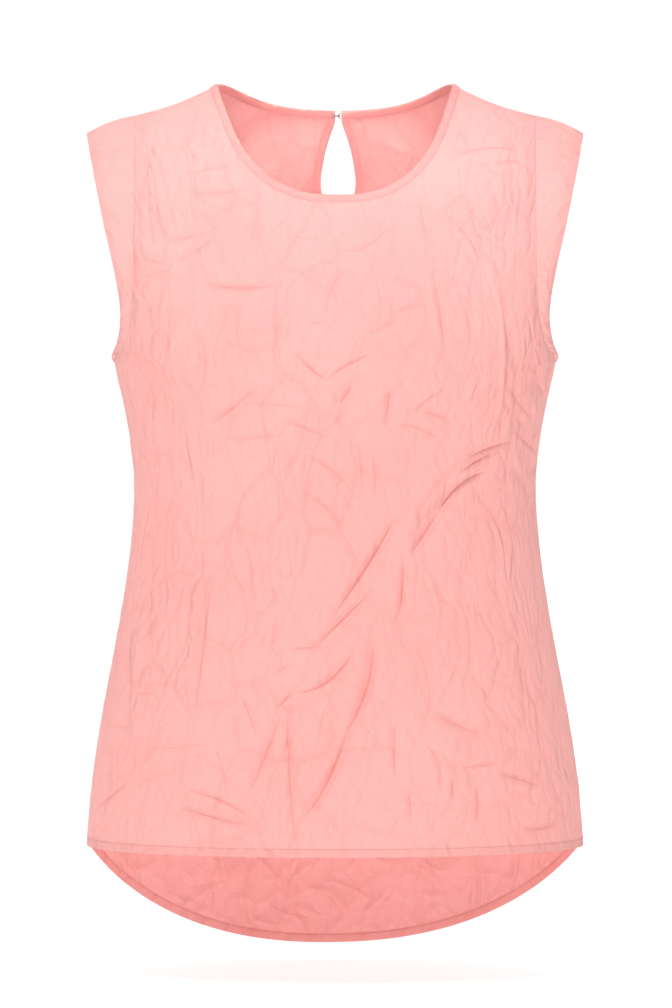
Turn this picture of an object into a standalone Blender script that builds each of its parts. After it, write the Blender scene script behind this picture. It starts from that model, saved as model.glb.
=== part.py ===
"""A sleeveless blouse of thin crinkled cloth, filled out as when worn, with nobody in it.

Metres. +Z is up, the front faces -Y and +X is the wearer's left. The origin lies midway
between the two points where the shoulder seams meet the neck, the highest of the shoulders.

The body is a tube of level sections that closes over the shoulders. A point on it is given
by two flat pattern coordinates: `across`, from 0 at the centre to HALF_ROUND at the side
seam, and `down`, which is the depth below the origin wherever the cloth hangs. Panels are
cut in those coordinates, and then laid on the form and given the thickness of a wall.
"""

import math

import bmesh
import bpy
import numpy as np
from mathutils import Vector
from mathutils.geometry import delaunay_2d_cdt

MM = 0.001

# Driving sizes.
FRONT_LENGTH = 607 * MM
TAIL_DROP = 92.7 * MM
TAIL_FLATNESS = 2.2
TAIL_SWEEP = 1.86
TAIL_LEAN = 1.8 * MM
HALF_ROUND = 245 * MM
SHOULDER_ROUND = 65 * MM
NECK_SHIFT = 2.2 * MM
CLOTH = 1.1 * MM
SEAM = 0.3 * MM
HEM_WIDTH = 8 * MM
HEM_EXTRA = 0.9 * MM
BINDING_WIDTH = 6.8 * MM
BINDING_CLOTH = 1.0 * MM
BOUND_EDGE = BINDING_CLOTH + 2 * SEAM
HOOK_WIRE = 0.8 * MM
EYE_THREAD = 0.9 * MM

# Sizes of the mesh.
PATCH = 21 * MM
EDGE_STEP = 13 * MM
FOLD_STEP = 12 * MM
CLEAR_OF_EDGE = 9 * MM
CLEAR_OF_FOLD = 6.5 * MM
NECK_STEP = 9 * MM
KEYHOLE_STEP = 6 * MM
SLEEVE_STATIONS = 48
SLEEVE_ROWS = 4

FRONT, BACK = -1, 1
QUARTER = math.pi / 2

# Level sections of the body, in millimetres: the height, half the width, the depth of the
# front and of the back at the centre, and how square the section is (2 is an ellipse).
SECTIONS = (
    # height, half width, front, back, squareness
    (60, 190.0, 58, 70, 3.2),
    (0, 190.0, 58, 70, 3.2),
    (-45, 188.5, 60, 78, 3.1),
    (-93, 183.0, 66, 90, 3.0),
    (-150, 177.5, 94, 99, 2.7),
    (-190, 176.3, 113, 101, 2.5),
    (-223, 175.8, 122, 99, 2.4),
    (-242, 171.8, 123, 96, 2.35),
    (-270, 166.0, 120, 92, 2.3),
    (-319, 160.3, 112, 86, 2.3),
    (-360, 162.3, 110, 88, 2.3),
    (-420, 170.6, 113, 96, 2.25),
    (-480, 181.8, 119, 105, 2.2),
    (-540, 192.0, 125, 113, 2.2),
    (-607, 198.4, 130, 121, 2.2),
    (-660, 201.0, 132, 125, 2.2),
    (-720, 203.0, 134, 128, 2.2),
)

# The ridge of the shoulders, in millimetres. Inside the neck it is only a guide.
RIDGE = (
    # across, height
    (0, 36.0),
    (47, 28.5),
    (75, 14.0),
    (94, 0.0),
    (109, -8.0),
    (122, -13.8),
    (147, -21.8),
    (160, -25.2),
    (190, -33.0),
)

# The finished neck edge, in millimetres.
NECK_FRONT = (
    # across, drop
    (0, 93.2),
    (16, 92.6),
    (30, 90.0),
    (46, 82.9),
    (60, 72.3),
    (72, 57.6),
    (81, 39.5),
    (86.5, 25.0),
    (91, 11.5),
    (94, 0.0),
)
NECK_BACK = (
    # across, drop
    (0, 14.3),
    (20, 13.7),
    (35, 12.5),
    (48, 10.6),
    (60, 7.7),
    (72, 3.7),
    (80, 0.8),
    (86, -0.9),
    (91, -1.1),
    (94, 0.0),
)

# Half of the keyhole's edge, in millimetres.
KEYHOLE = (
    # half width, drop
    (2.35, 14.3),
    (2.9, 23.0),
    (5.9, 32.0),
    (10.2, 45.5),
    (13.4, 62.0),
    (14.3, 71.0),
    (13.2, 81.0),
    (9.8, 89.5),
    (5.2, 94.8),
    (0.0, 96.5),
)

# The armhole seam, in millimetres, from the shoulder down to the underarm. Both panels
# share it.
ARMHOLE = (
    # across, drop
    (160.0, 25.2),
    (158.6, 46.0),
    (158.4, 82.0),
    (158.4, 120.0),
    (158.6, 154.0),
    (159.8, 182.0),
    (163.0, 201.0),
    (169.5, 214.5),
    (175.8, 223.0),
)

# The cap sleeve's open edge, in millimetres, all round from the shoulder over the front.
SLEEVE_EDGE = (
    # across, forward, drop
    (198.3, -2, 39.0),
    (195.2, 19, 54.0),
    (189.8, 36, 79.0),
    (182.4, 46, 114.0),
    (174.8, 52, 147.0),
    (169.4, 53, 178.0),
    (169.8, 46, 197.0),
    (173.4, 27, 210.5),
    (176.6, 0, 215.5),
    (174.6, -28, 210.5),
    (171.6, -49, 197.0),
    (171.6, -57, 178.0),
    (177.2, -57, 147.0),
    (184.4, -51, 114.0),
    (191.2, -41, 79.0),
    (195.8, -23, 54.0),
)
SLEEVE_CROWN = 2.2 * MM

# The largest folds, in millimetres: the ends seen from the front or the back, how far the
# middle bows out to the side, half the width, and how far it stands out or sinks in.
FRONT_FOLDS = (
    # x1, drop1, x2, drop2, bow, half width, lift
    (-121, 150, -92, 122, 4, 11, -2.1),
    (-146, 82, -144, 128, 3, 10, -1.2),
    (2, 132, 42, 112, 9, 11, -1.3),
    (76, 148, 87, 222, -3, 12, -1.2),
    (126, 168, 134, 296, 5, 14, 1.3),
    (-30, 217, 30, 217, -20, 12, -2.7),
    (-60, 244, -101, 278, 5, 12, -2.4),
    (-123, 262, -110, 330, -3, 13, -1.4),
    (12, 244, 1, 262, 2, 11, -1.8),
    (42, 250, 39, 276, 3, 11, -1.8),
    (62, 262, 92, 272, 3, 11, -2.1),
    (136, 290, 105, 303, 3, 11, -2.8),
    (117, 312, 60, 374, -7, 14, -3.6),
    (104, 296, 58, 346, -6, 11, 2.4),
    (52, 380, 46, 432, 4, 12, -2.4),
    (47, 350, -2, 424, 5, 14, -3.3),
    (30, 404, -14, 448, 3, 12, -2.8),
    (14, 454, -44, 494, 8, 14, -3.2),
    (30, 445, -24, 578, 9, 15, -3.9),
    (18, 470, -22, 560, 8, 11, 2.4),
    (-43, 498, -67, 562, 2, 12, -2.7),
    (-36, 500, -30, 592, -4, 12, -2.5),
    (-92, 393, -108, 500, 3, 15, 1.6),
    (-155, 400, -156, 512, 2, 15, 1.3),
    (-114, 562, -64, 584, 4, 12, -3.0),
    (76, 500, 113, 515, 3, 12, -2.2),
    (47, 507, 46, 550, 2, 12, -1.3),
    (150, 462, 154, 516, -2, 12, -1.3),
    (112, 552, 111, 584, 1, 11, -1.2),
    (140, 306, 158, 345, 3, 12, -2.2),
)
BACK_FOLDS = (
    # x1, drop1, x2, drop2, bow, half width, lift
    (-118, 96, -70, 150, 6, 13, -2.4),
    (112, 92, 66, 132, -5, 12, -2.2),
    (-46, 132, 38, 152, 8, 12, -2.2),
    (140, 150, 128, 232, 4, 13, 2.4),
    (-142, 168, -128, 236, -4, 13, -2.4),
    (-60, 196, 6, 236, 9, 13, -2.7),
    (80, 214, 20, 262, 6, 12, -2.5),
    (-118, 268, -52, 302, 5, 13, -2.8),
    (120, 280, 58, 312, 5, 13, -3.0),
    (48, 320, -14, 410, 7, 15, -3.4),
    (32, 330, -26, 404, 7, 11, 2.2),
    (-70, 330, -88, 412, 4, 14, -2.7),
    (104, 352, 112, 440, 4, 14, 2.7),
    (-20, 430, -66, 520, 6, 15, -3.3),
    (26, 440, 8, 540, -5, 14, -3.0),
    (-132, 430, -138, 530, 3, 15, 2.7),
    (86, 474, 124, 496, 4, 12, -2.4),
    (70, 520, 44, 600, 4, 14, -3.0),
    (-96, 548, -54, 600, 5, 13, -2.7),
    (4, 572, -20, 640, 5, 13, -2.7),
    (132, 520, 140, 586, -3, 13, -2.4),
    (-40, 610, 46, 634, 6, 12, -2.4),
)
FOLD_FADE = 14 * MM

# Colour and roughness.
COLOURS = {
    "front": ((0.955, 0.480, 0.448, 1), 0.85),
    "back": ((0.940, 0.462, 0.432, 1), 0.85),
    "sleeve": ((0.955, 0.500, 0.470, 1), 0.85),
    "binding": ((0.950, 0.450, 0.420, 1), 0.80),
    "thread": ((0.900, 0.400, 0.390, 1), 0.70),
    "hook": ((0.420, 0.330, 0.350, 1), 0.35),
}


def spline(knots, values):
    """The smooth curve through the rows of a table: a natural cubic spline."""
    knots = np.asarray(knots, float)
    values = np.asarray(values, float)
    steps = np.diff(knots)
    slopes = np.diff(values) / steps
    system = np.eye(len(knots))
    bends = np.zeros(len(knots))
    for i in range(1, len(knots) - 1):
        system[i, i - 1 : i + 2] = steps[i - 1], 2 * (steps[i - 1] + steps[i]), steps[i]
        bends[i] = 6 * (slopes[i] - slopes[i - 1])
    bends = np.linalg.solve(system, bends)

    def at(x):
        x = np.asarray(x, float)
        i = np.clip(np.searchsorted(knots, x) - 1, 0, len(steps) - 1)
        after = x - knots[i]
        slope = slopes[i] - steps[i] * (2 * bends[i] + bends[i + 1]) / 6
        jerk = (bends[i + 1] - bends[i]) / (6 * steps[i])
        return values[i] + after * (slope + after * (bends[i] / 2 + after * jerk))

    return at


HEIGHTS, HALF_WIDTHS, FRONTS, BACKS, SQUARES = np.array(sorted(SECTIONS)).T
half_width = spline(HEIGHTS * MM, HALF_WIDTHS * MM)
squareness = spline(HEIGHTS * MM, SQUARES)
depth = {
    FRONT: spline(HEIGHTS * MM, FRONTS * MM),
    BACK: spline(HEIGHTS * MM, BACKS * MM),
}
ridge_table = spline(*(np.array(RIDGE).T * MM))
SHOULDER_WIDTH = float(half_width(0.0))


def ridge(across):
    """Height of the shoulder's ridge at a flat coordinate."""
    return ridge_table(SHOULDER_WIDTH * np.abs(np.sin(across / HALF_ROUND * QUARTER)))


def flat(x, height):
    """Flat coordinates of a point of the body seen from the front, one row each."""
    x, height = np.broadcast_arrays(np.asarray(x, float), np.asarray(height, float))
    across = np.arcsin(np.clip(x / half_width(height), -1, 1)) / QUARTER * HALF_ROUND
    below = np.clip(ridge(across) - height, 0, None)
    turn = np.arccos(np.clip(1 - below / SHOULDER_ROUND, 0, 1))
    over = -ridge(across) + SHOULDER_ROUND * (turn - QUARTER + 1)
    return np.stack([across, np.where(below < SHOULDER_ROUND, over, -height)], -1)


def ridge_down(across):
    """The flat coordinate `down` of the shoulder seam."""
    return -ridge(across) - SHOULDER_ROUND * (QUARTER - 1)


def body(points, side):
    """Lays flat points on the bare form of the front or the back."""
    across, down = np.asarray(points, float).T
    top = ridge(across)
    turn = (down + top) / SHOULDER_ROUND + QUARTER - 1
    turn = np.minimum(turn, QUARTER)
    over = top - SHOULDER_ROUND * (1 - np.cos(turn))
    height = np.where(turn < QUARTER, over, -down)
    sine = np.sin(across / HALF_ROUND * QUARTER)
    power = squareness(height)
    bulge = np.clip(1 - np.abs(sine) ** power, 0, 1) ** (1 / power)
    bulge = bulge * np.sign(np.cos(across / HALF_ROUND * QUARTER))
    forward = side * depth[side](height) * bulge * np.sin(turn)
    return np.stack([half_width(height) * sine, forward, height], -1)


def unit(vectors):
    return vectors / np.linalg.norm(vectors, axis=-1, keepdims=True)


def slopes_of(points, side, step=0.05 * MM):
    """How a flat step across and a flat step down move a point of the form."""
    points = np.asarray(points, float)
    moves = []
    for move in ((step, 0), (0, step)):
        ahead = body(points + move, side)
        behind = body(points - move, side)
        moves.append((ahead - behind) / (2 * step))
    return moves


def outward(points, side):
    """The form's outward normals."""
    right, down = slopes_of(points, side)
    return unit(np.cross(down, right)) * -side


def lay(points, side, lift):
    """Lays flat points on the form, lifted off it. The two panels part at their seams."""
    laid = body(points, side) + outward(points, side) * np.reshape(lift, (-1, 1))
    laid[:, 1] += side * SEAM / 2
    return laid


def along(points):
    """Length along a row of points."""
    lengths = np.linalg.norm(np.diff(points, axis=0), axis=1)
    return np.concatenate([[0], np.cumsum(lengths)])


def evenly(points, side, step):
    """A flat path again, with points at even steps on the form."""
    reached = along(body(points, side))
    stations = np.linspace(0, reached[-1], max(2, round(reached[-1] / step) + 1))
    return np.stack([np.interp(stations, reached, column) for column in points.T], -1)


def smooth_path(rows, count=300):
    """A smooth path through the rows of an edge's table, seen from the front."""
    rows = np.array(rows, float) * MM
    reached = along(rows)
    stations = np.linspace(0, reached[-1], count)
    return np.stack([spline(reached, column)(stations) for column in rows.T], -1)


def edge_path(rows):
    """Flat path of half an edge, from a table of widths and drops."""
    x, drop = smooth_path(rows).T
    return flat(x, -drop)


def mirrored(path):
    """A path from the wearer's left, carried on round to the wearer's right."""
    other = path[::-1] * (-1, 1)
    joined = np.allclose(path[-1], other[0])
    return np.concatenate([path, other[1:] if joined else other])


def shifted(path):
    """Moves the neck and keyhole sideways, as they sit on the body, and no shoulder."""
    width = np.abs(path[:, :1]) / flat(NECK_FRONT[-1][0] * MM, 0.0)[0]
    return path + (1, 0) * (NECK_SHIFT * np.clip(1 - width**2, 0, 1))


def inset(path, side, distance, turn=1):
    """A flat path moved sideways over the form, to its right for turn = 1."""
    ahead = np.gradient(path, axis=0)
    right, down = slopes_of(path, side)
    tangent = unit(ahead[:, :1] * right + ahead[:, 1:] * down)
    way = np.cross(tangent, outward(path, side)) * turn
    moved = []
    for axes, move in zip(np.stack([right, down], -1), way):
        moved.append(np.linalg.lstsq(axes, move, rcond=None)[0])
    return path + np.array(moved) * distance


def nearest(points, path):
    """Distance of flat points from a flat path."""
    best = np.full(len(points), np.inf)
    for start, end in zip(path[:-1], path[1:]):
        run = end - start
        reach = np.clip((points - start) @ run / max(run @ run, 1e-12), 0, 1)
        gap = np.linalg.norm(points - start - reach[:, None] * run, axis=1)
        best = np.minimum(best, gap)
    return best


def inside(points, loop):
    """Which flat points lie inside a closed loop."""
    x, y = points.T
    hits = np.zeros(len(points), bool)
    for (x1, y1), (x2, y2) in zip(loop, np.roll(loop, -1, axis=0)):
        if y1 == y2:
            continue
        crosses = (y1 > y) != (y2 > y)
        hits ^= crosses & (x < (x2 - x1) * (y - y1) / (y2 - y1) + x1)
    return hits


def fold_lines(rows):
    """The centre line of each fold in flat coordinates, with its half width and lift."""
    lines = []
    for x1, drop1, x2, drop2, bow, width, lift in np.array(rows) * MM:
        start, end = np.array([x1, -drop1]), np.array([x2, -drop2])
        run = end - start
        aside = np.array([-run[1], run[0]]) / np.linalg.norm(run)
        t = np.linspace(0, 1, 3 + int(np.linalg.norm(run) / FOLD_STEP))[:, None]
        line = start + run * t + aside * bow * 4 * t * (1 - t)
        lines.append((flat(*line.T), width, lift))
    return lines


def lift_of(points, lines):
    """How far the folds lift each flat point off the bare form."""
    total = np.zeros(len(points))
    for line, width, lift in lines:
        away = nearest(points, line)
        middle = line[len(line) // 2]
        reach = along(line)[-1] / 2 + width
        end = np.clip(1 - (np.linalg.norm(points - middle, axis=1) / reach) ** 4, 0, 1)
        total += lift * end * (1 + np.cos(np.pi * np.clip(away / width, 0, 1))) / 2
    return total


def faded(points, loop):
    """A weight that takes the folds to nothing at a panel's edge."""
    gap = nearest(points, np.concatenate([loop, loop[:1]]))
    return np.clip(gap / FOLD_FADE, 0, 1)


def thinned(points, kept, gap):
    """The points that stay clear of those kept and of each other."""
    kept = list(kept)
    added = []
    for point in points:
        others = np.array(kept).reshape(-1, 2)
        if len(others) and np.linalg.norm(others - point, axis=1).min() < gap:
            continue
        kept.append(point)
        added.append(point)
    return np.array(added).reshape(-1, 2)


def patch_points(loop, lines, needed):
    """Points that cover a panel: those needed, its folds and an even field."""
    closed = np.concatenate([loop, loop[:1]])
    crests = [line for line, _, _ in lines]
    feet = []
    for line, width, _ in lines:
        run = np.gradient(line, axis=0)
        aside = unit(np.stack([-run[:, 1], run[:, 0]], -1))
        feet += [line + aside * width, line - aside * width]
    low, high = loop.min(axis=0), loop.max(axis=0)
    rows = []
    for j, down in enumerate(np.arange(low[1], high[1], PATCH * math.sqrt(3) / 2)):
        across = np.arange(low[0] + (j % 2) * PATCH / 2, high[0], PATCH)
        rows.append(np.stack([across, np.full(len(across), down)], -1))
    needed = needed[inside(needed, loop)]
    needed = needed[nearest(needed, closed) > CLEAR_OF_EDGE / 3]
    found = [thinned(needed, [], CLEAR_OF_EDGE / 3)]
    for group, gap in (
        (crests, CLEAR_OF_FOLD),
        (feet, CLEAR_OF_FOLD),
        (rows, PATCH * 0.62),
    ):
        points = np.concatenate(group)
        points = points[inside(points, loop)]
        points = points[nearest(points, closed) > CLEAR_OF_EDGE]
        found.append(thinned(points, np.concatenate(found), gap))
    return np.concatenate(found)


def material(name, finish):
    colour, roughness = COLOURS[finish]
    made = bpy.data.materials.new(name)
    made.use_nodes = True
    shader = made.node_tree.nodes["Principled BSDF"]
    shader.inputs["Base Color"].default_value = colour
    shader.inputs["Roughness"].default_value = roughness
    shader.inputs["Metallic"].default_value = 1.0 if finish == "hook" else 0.0
    return made


def finished(name, mesh, finish):
    """Turns a bmesh into a named object with its own material, shaded smooth."""
    bmesh.ops.recalc_face_normals(mesh, faces=mesh.faces)
    data = bpy.data.meshes.new(name)
    mesh.to_mesh(data)
    mesh.free()
    data.shade_smooth()
    data.set_sharp_from_angle(angle=math.radians(50))
    data.materials.append(material(name, finish))
    made = bpy.data.objects.new(name, data)
    bpy.context.scene.collection.objects.link(made)
    return made


def walled(name, outer, inner, faces, rim, finish):
    """A wall between an outer and an inner sheet, closed along the rim."""
    mesh = bmesh.new()
    near = [mesh.verts.new(point) for point in outer]
    far = [mesh.verts.new(point) for point in inner]
    for face in faces:
        mesh.faces.new([near[i] for i in face])
        mesh.faces.new([far[i] for i in reversed(face)])
    for a, b in zip(rim, rim[1:] + rim[:1]):
        mesh.faces.new((near[b], near[a], far[a], far[b]))
    return finished(name, mesh, finish)


def swept(name, sections, finish, closed=False):
    """A solid through a row of like sections, capped at its ends unless it closes."""
    mesh = bmesh.new()
    loops = []
    for section in sections:
        loop = [mesh.verts.new(point) for point in section]
        for a, b in zip(loop, loop[1:] + loop[:1]):
            mesh.edges.new((a, b))
        loops.append(loop)
    pairs = list(zip(loops, loops[1:]))
    if closed:
        pairs.append((loops[-1], loops[0]))
    for first, second in pairs:
        for i, a in enumerate(first):
            j = (i + 1) % len(first)
            mesh.faces.new((a, first[j], second[j], second[i]))
    if not closed:
        mesh.faces.new(loops[0])
        mesh.faces.new(loops[-1])
    return finished(name, mesh, finish)


# The seam round the armhole, at the same stations for the panels and the sleeve.
SEAM_ROWS = len(ARMHOLE) - 1
HALF_STATIONS = SLEEVE_STATIONS // 2


def armhole_path():
    """The armhole seam in flat coordinates, from the shoulder to the underarm."""
    x, drop = np.array(ARMHOLE).T * MM
    rows = flat(x, -drop)
    rows[0, 1] = ridge_down(rows[0, 0])
    rows[-1] = HALF_ROUND, drop[-1]
    stations = np.linspace(0, SEAM_ROWS, HALF_STATIONS + 1)
    columns = [spline(range(SEAM_ROWS + 1), column)(stations) for column in rows.T]
    return np.stack(columns, -1)


def sleeve_edge():
    """The open edge of the wearer's left sleeve, all round from the shoulder."""
    rows = np.array(SLEEVE_EDGE) * (MM, -MM, -MM)
    rows = np.concatenate([rows[-3:], rows, rows[:4]])
    stations = 3 + np.arange(SLEEVE_STATIONS) * 2 * SEAM_ROWS / SLEEVE_STATIONS
    return np.stack([spline(range(len(rows)), row)(stations) for row in rows.T], -1)


def armhole_round():
    """The armhole seam on the form all round, and the shared normal that mitres it."""
    path = armhole_path()
    front, back = body(path, FRONT), body(path, BACK)
    seam = np.concatenate([front, back[-2:0:-1]])
    normals = np.concatenate([outward(path, FRONT), outward(path, BACK)[-2:0:-1]])
    run = np.roll(seam, -1, axis=0) - np.roll(seam, 1, axis=0)
    band = unit(np.cross(run, sleeve_edge() - seam))
    band *= np.sign((band * normals).sum(axis=1, keepdims=True))
    shared = unit(band + normals)
    lean = (shared * normals).sum(axis=1, keepdims=True)
    return seam, band, shared / np.clip(lean, 0.5, 1)


def mitre(side):
    """The wall's direction along a panel's armhole, from shoulder to underarm."""
    shared = armhole_round()[2]
    if side == FRONT:
        return shared[: HALF_STATIONS + 1]
    return np.concatenate([shared[:1], shared[:HALF_STATIONS - 1:-1]])


def hem_drop(across, side):
    """Depth of the finished hem: level in front, and behind a rounded tail, which hangs a
    little lower on the wearer's right."""
    if side == FRONT:
        return np.full(len(across), FRONT_LENGTH)
    part = np.clip(across / HALF_ROUND, -1, 1)
    tail = TAIL_DROP * (1 - np.abs(part) ** TAIL_FLATNESS) ** TAIL_SWEEP
    return FRONT_LENGTH + tail - TAIL_LEAN * np.sin(math.pi * part)


def hem_path(side, above, reach):
    across = np.linspace(reach, -reach, 200)
    return np.stack([across, hem_drop(across, side) - above], -1)


def panel(name, side, folds, finish):
    """One panel: cut in flat coordinates, then laid on the form as a wall."""
    inner_edge, under_binding = panel_neck(side)
    armhole = armhole_path()
    shoulder = np.linspace(inner_edge[-1], armhole[0], 40)
    shoulder[:, 1] = ridge_down(shoulder[:, 0])
    side_seam = np.array([armhole[-1], (HALF_ROUND, FRONT_LENGTH)])
    left = [
        evenly(shoulder, side, EDGE_STEP / 2)[:-1],
        armhole[:-1],
        evenly(np.linspace(*side_seam, 60), side, EDGE_STEP)[:-1],
    ]
    before = len(inner_edge) - 1 + len(left[0])
    left = np.concatenate(left)
    hem = evenly(hem_path(side, 0, HALF_ROUND), side, EDGE_STEP)
    right = left[::-1] * (-1, 1)
    loop = np.concatenate([inner_edge[:-1], left, hem, right[:-1]])
    lines = fold_lines(folds)
    top_of_hem = []
    for rise in (HEM_WIDTH, HEM_WIDTH + HEM_EXTRA):
        line = hem_path(side, rise, HALF_ROUND - 6 * MM)
        top_of_hem.append(evenly(line, side, EDGE_STEP))
    field = patch_points(loop, lines, np.concatenate([*top_of_hem, under_binding]))
    points = np.concatenate([loop, field])
    rim = list(range(len(loop)))
    flat_points = [Vector(point) for point in points]
    made = delaunay_2d_cdt(flat_points, [], [rim], 1, 1e-7)
    faces = [list(face) for face in made[2]]
    if len(made[0]) != len(points):
        raise ValueError(name + ": the cut crosses itself")
    lift = lift_of(points, lines) * faded(points, loop)
    normals = outward(points, side)
    here = mitre(side)
    normals[before : before + len(here)] = here
    opposite = len(loop) - before + len(inner_edge) - 1
    mirror_here = here[::-1] * (-1, 1, 1)
    normals[opposite - len(here) + 1 : opposite + 1] = mirror_here
    drop = hem_drop(points[:, 0], side)
    in_hem = points[:, 1] > drop - HEM_WIDTH - HEM_EXTRA / 2
    thick = np.where(in_hem, CLOTH + HEM_EXTRA, CLOTH)
    outer = body(points, side) + normals * lift[:, None]
    inner = outer - normals * thick[:, None]
    for sheet in (outer, inner):
        sheet[:, 1] += side * SEAM / 2
    return walled(name, outer, inner, faces, rim, finish)


def sleeve(name, mirror):
    """A cap sleeve: a short band from the armhole seam out to its open edge."""
    seam, band, shared = armhole_round()
    edge = sleeve_edge()
    sections = []
    for start, end, normal, direction in zip(seam, edge, band, shared):
        reach = end - start
        length = np.linalg.norm(reach)
        outer, inner = [], []
        for step in np.linspace(SEAM / length, 1, SLEEVE_ROWS):
            crown = SLEEVE_CROWN * 4 * step * (1 - step)
            blend = min(1, step * 3)
            lean = direction * (1 - blend) + normal * blend
            point = start + reach * step + normal * crown
            outer.append(point)
            inner.append(point - lean * CLOTH)
        sections.append(np.array(outer + inner[::-1]) * (mirror, 1, 1))
    return swept(name, sections, "sleeve", closed=True)


def binding_sections(edge, side, turn):
    """Sections of a strip folded over an edge: two leaves with the panel between."""
    leaf = SEAM + BINDING_CLOTH
    inner = -CLOTH - SEAM
    profile = (
        # distance from the fold, lift
        (BINDING_WIDTH, SEAM),
        (BINDING_WIDTH, leaf),
        (BINDING_CLOTH, leaf),
        (0.2 * BINDING_CLOTH, leaf - 0.5 * MM),
        (0.2 * BINDING_CLOTH, inner - BINDING_CLOTH + 0.5 * MM),
        (BINDING_CLOTH, inner - BINDING_CLOTH),
        (BINDING_WIDTH, inner - BINDING_CLOTH),
        (BINDING_WIDTH, inner),
        (BINDING_CLOTH + SEAM, inner),
        (BINDING_CLOTH + SEAM, SEAM),
    )
    columns = []
    for distance, lift in profile:
        moved = inset(edge, side, distance, turn)
        normals = outward(moved, side)
        points = body(moved, side) + normals * lift
        points[:, 1] += side * SEAM / 2 * np.abs(normals[:, 1])
        columns.append(points)
    return np.stack(columns, 1)


def neck_edges():
    """The finished neck edge, run from the wearer's left shoulder: in front to the right
    shoulder, behind to the nape, and behind on to the right shoulder."""
    nape = KEYHOLE[0][0] * MM
    tip = flat(nape, -NECK_BACK[0][1] * MM)
    half = edge_path(NECK_BACK[::-1])
    half = np.concatenate([half[half[:, 0] > tip[0]], [tip]])
    front = mirrored(edge_path(NECK_FRONT[::-1]))
    half[0, 1] = front[0, 1] = front[-1, 1] = ridge_down(front[0, 0])
    front = evenly(front, FRONT, NECK_STEP)
    left = evenly(half, BACK, NECK_STEP)
    return shifted(front), shifted(left), shifted(left[::-1] * (-1, 1))


def keyhole_edge():
    """The finished keyhole edge, from the wearer's left nape round to the right."""
    return shifted(evenly(mirrored(edge_path(KEYHOLE)), BACK, KEYHOLE_STEP))


def panel_neck(side):
    """The panel's own cut edge along the neck and keyhole, inside their bindings, from the
    wearer's right shoulder to the left, and the points of it under the leaves' ends."""
    front, left, right = neck_edges()
    under = BINDING_WIDTH + SEAM
    if side == FRONT:
        edge = inset(front, FRONT, BOUND_EDGE, -1)
        edge[0, 1] = edge[-1, 1] = ridge_down(edge[0, 0])
        return edge[::-1], inset(front, FRONT, under, -1)
    hole = keyhole_edge()
    below = np.concatenate([inset(path, BACK, under) for path in (left, hole, right)])
    left, hole, right = [inset(path, BACK, BOUND_EDGE) for path in (left, hole, right)]
    left[0, 1] = right[-1, 1] = ridge_down(left[0, 0])
    left = left[left[:, 0] > hole[0, 0] + NECK_STEP / 3]
    right = right[right[:, 0] < hole[-1, 0] - NECK_STEP / 3]
    corners = np.array([(hole[0, 0], left[-1, 1]), (hole[-1, 0], right[0, 1])])
    hole = hole[hole[:, 1] > corners[0, 1] + KEYHOLE_STEP / 3]
    edge = np.concatenate([left, corners[:1], hole, corners[1:], right])
    return edge[::-1], below


def neck_binding():
    front, left, right = neck_edges()
    ring_front = binding_sections(front, FRONT, -1)
    ring_left = binding_sections(left, BACK, 1)
    ring_right = binding_sections(right, BACK, 1)
    sections = [*ring_left[::-1], *ring_front[1:-1], *ring_right[::-1]]
    return swept("neck_binding", sections, "binding")


def keyhole_binding():
    edge = keyhole_edge()
    edge = edge[edge[:, 1] > edge[0, 1] + BINDING_WIDTH + SEAM]
    return swept("keyhole_binding", binding_sections(edge, BACK, 1), "binding")


def wire(name, points, thickness, finish):
    """A round wire or thread along a smooth path."""
    curve = bpy.data.curves.new(name, "CURVE")
    curve.dimensions = "3D"
    curve.bevel_depth = thickness / 2
    curve.bevel_resolution = 2
    curve.use_fill_caps = True
    line = curve.splines.new("POLY")
    points = np.array(points) * MM
    reached = along(points)
    stations = np.linspace(0, reached[-1], 14)
    smooth = np.stack([spline(reached, column)(stations) for column in points.T], -1)
    line.points.add(len(smooth) - 1)
    for target, point in zip(line.points, smooth):
        target.co = (*point, 1)
    curve.materials.append(material(name, finish))
    made = bpy.data.objects.new(name, curve)
    bpy.context.scene.collection.objects.link(made)
    return made


def closure():
    """The hook and the thread eye that close the nape, in the gap over the keyhole."""
    middle = (NECK_BACK[0][1] + BINDING_WIDTH / MM * 0.6) * MM
    x, y, z = lay(shifted(flat([0.0], -middle)), BACK, -CLOTH / 2)[0] / MM
    reach = KEYHOLE[0][0] - SEAM / MM
    bar = x + 0.25
    eye = ((x + reach, y, z + 2.6), (bar + 0.5, y, z + 1.7), (bar, y, z))
    eye += ((bar + 0.5, y, z - 1.7), (x + reach, y, z - 2.6))
    wire("thread_eye", eye, EYE_THREAD, "thread")
    hook = ((x - reach, y - 1.25, z), (bar, y - 1.25, z), (bar + 1.2, y, z))
    hook += ((bar, y + 1.25, z), (bar - 1.2, y + 1.25, z))
    wire("hook", hook, HOOK_WIRE, "hook")


for old in list(bpy.data.objects):
    bpy.data.objects.remove(old, do_unlink=True)

panel("front", FRONT, FRONT_FOLDS, "front")
panel("back", BACK, BACK_FOLDS, "back")
sleeve("cap_sleeve_left", 1)
sleeve("cap_sleeve_right", -1)
neck_binding()
keyhole_binding()
closure()
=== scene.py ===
import math

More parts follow.
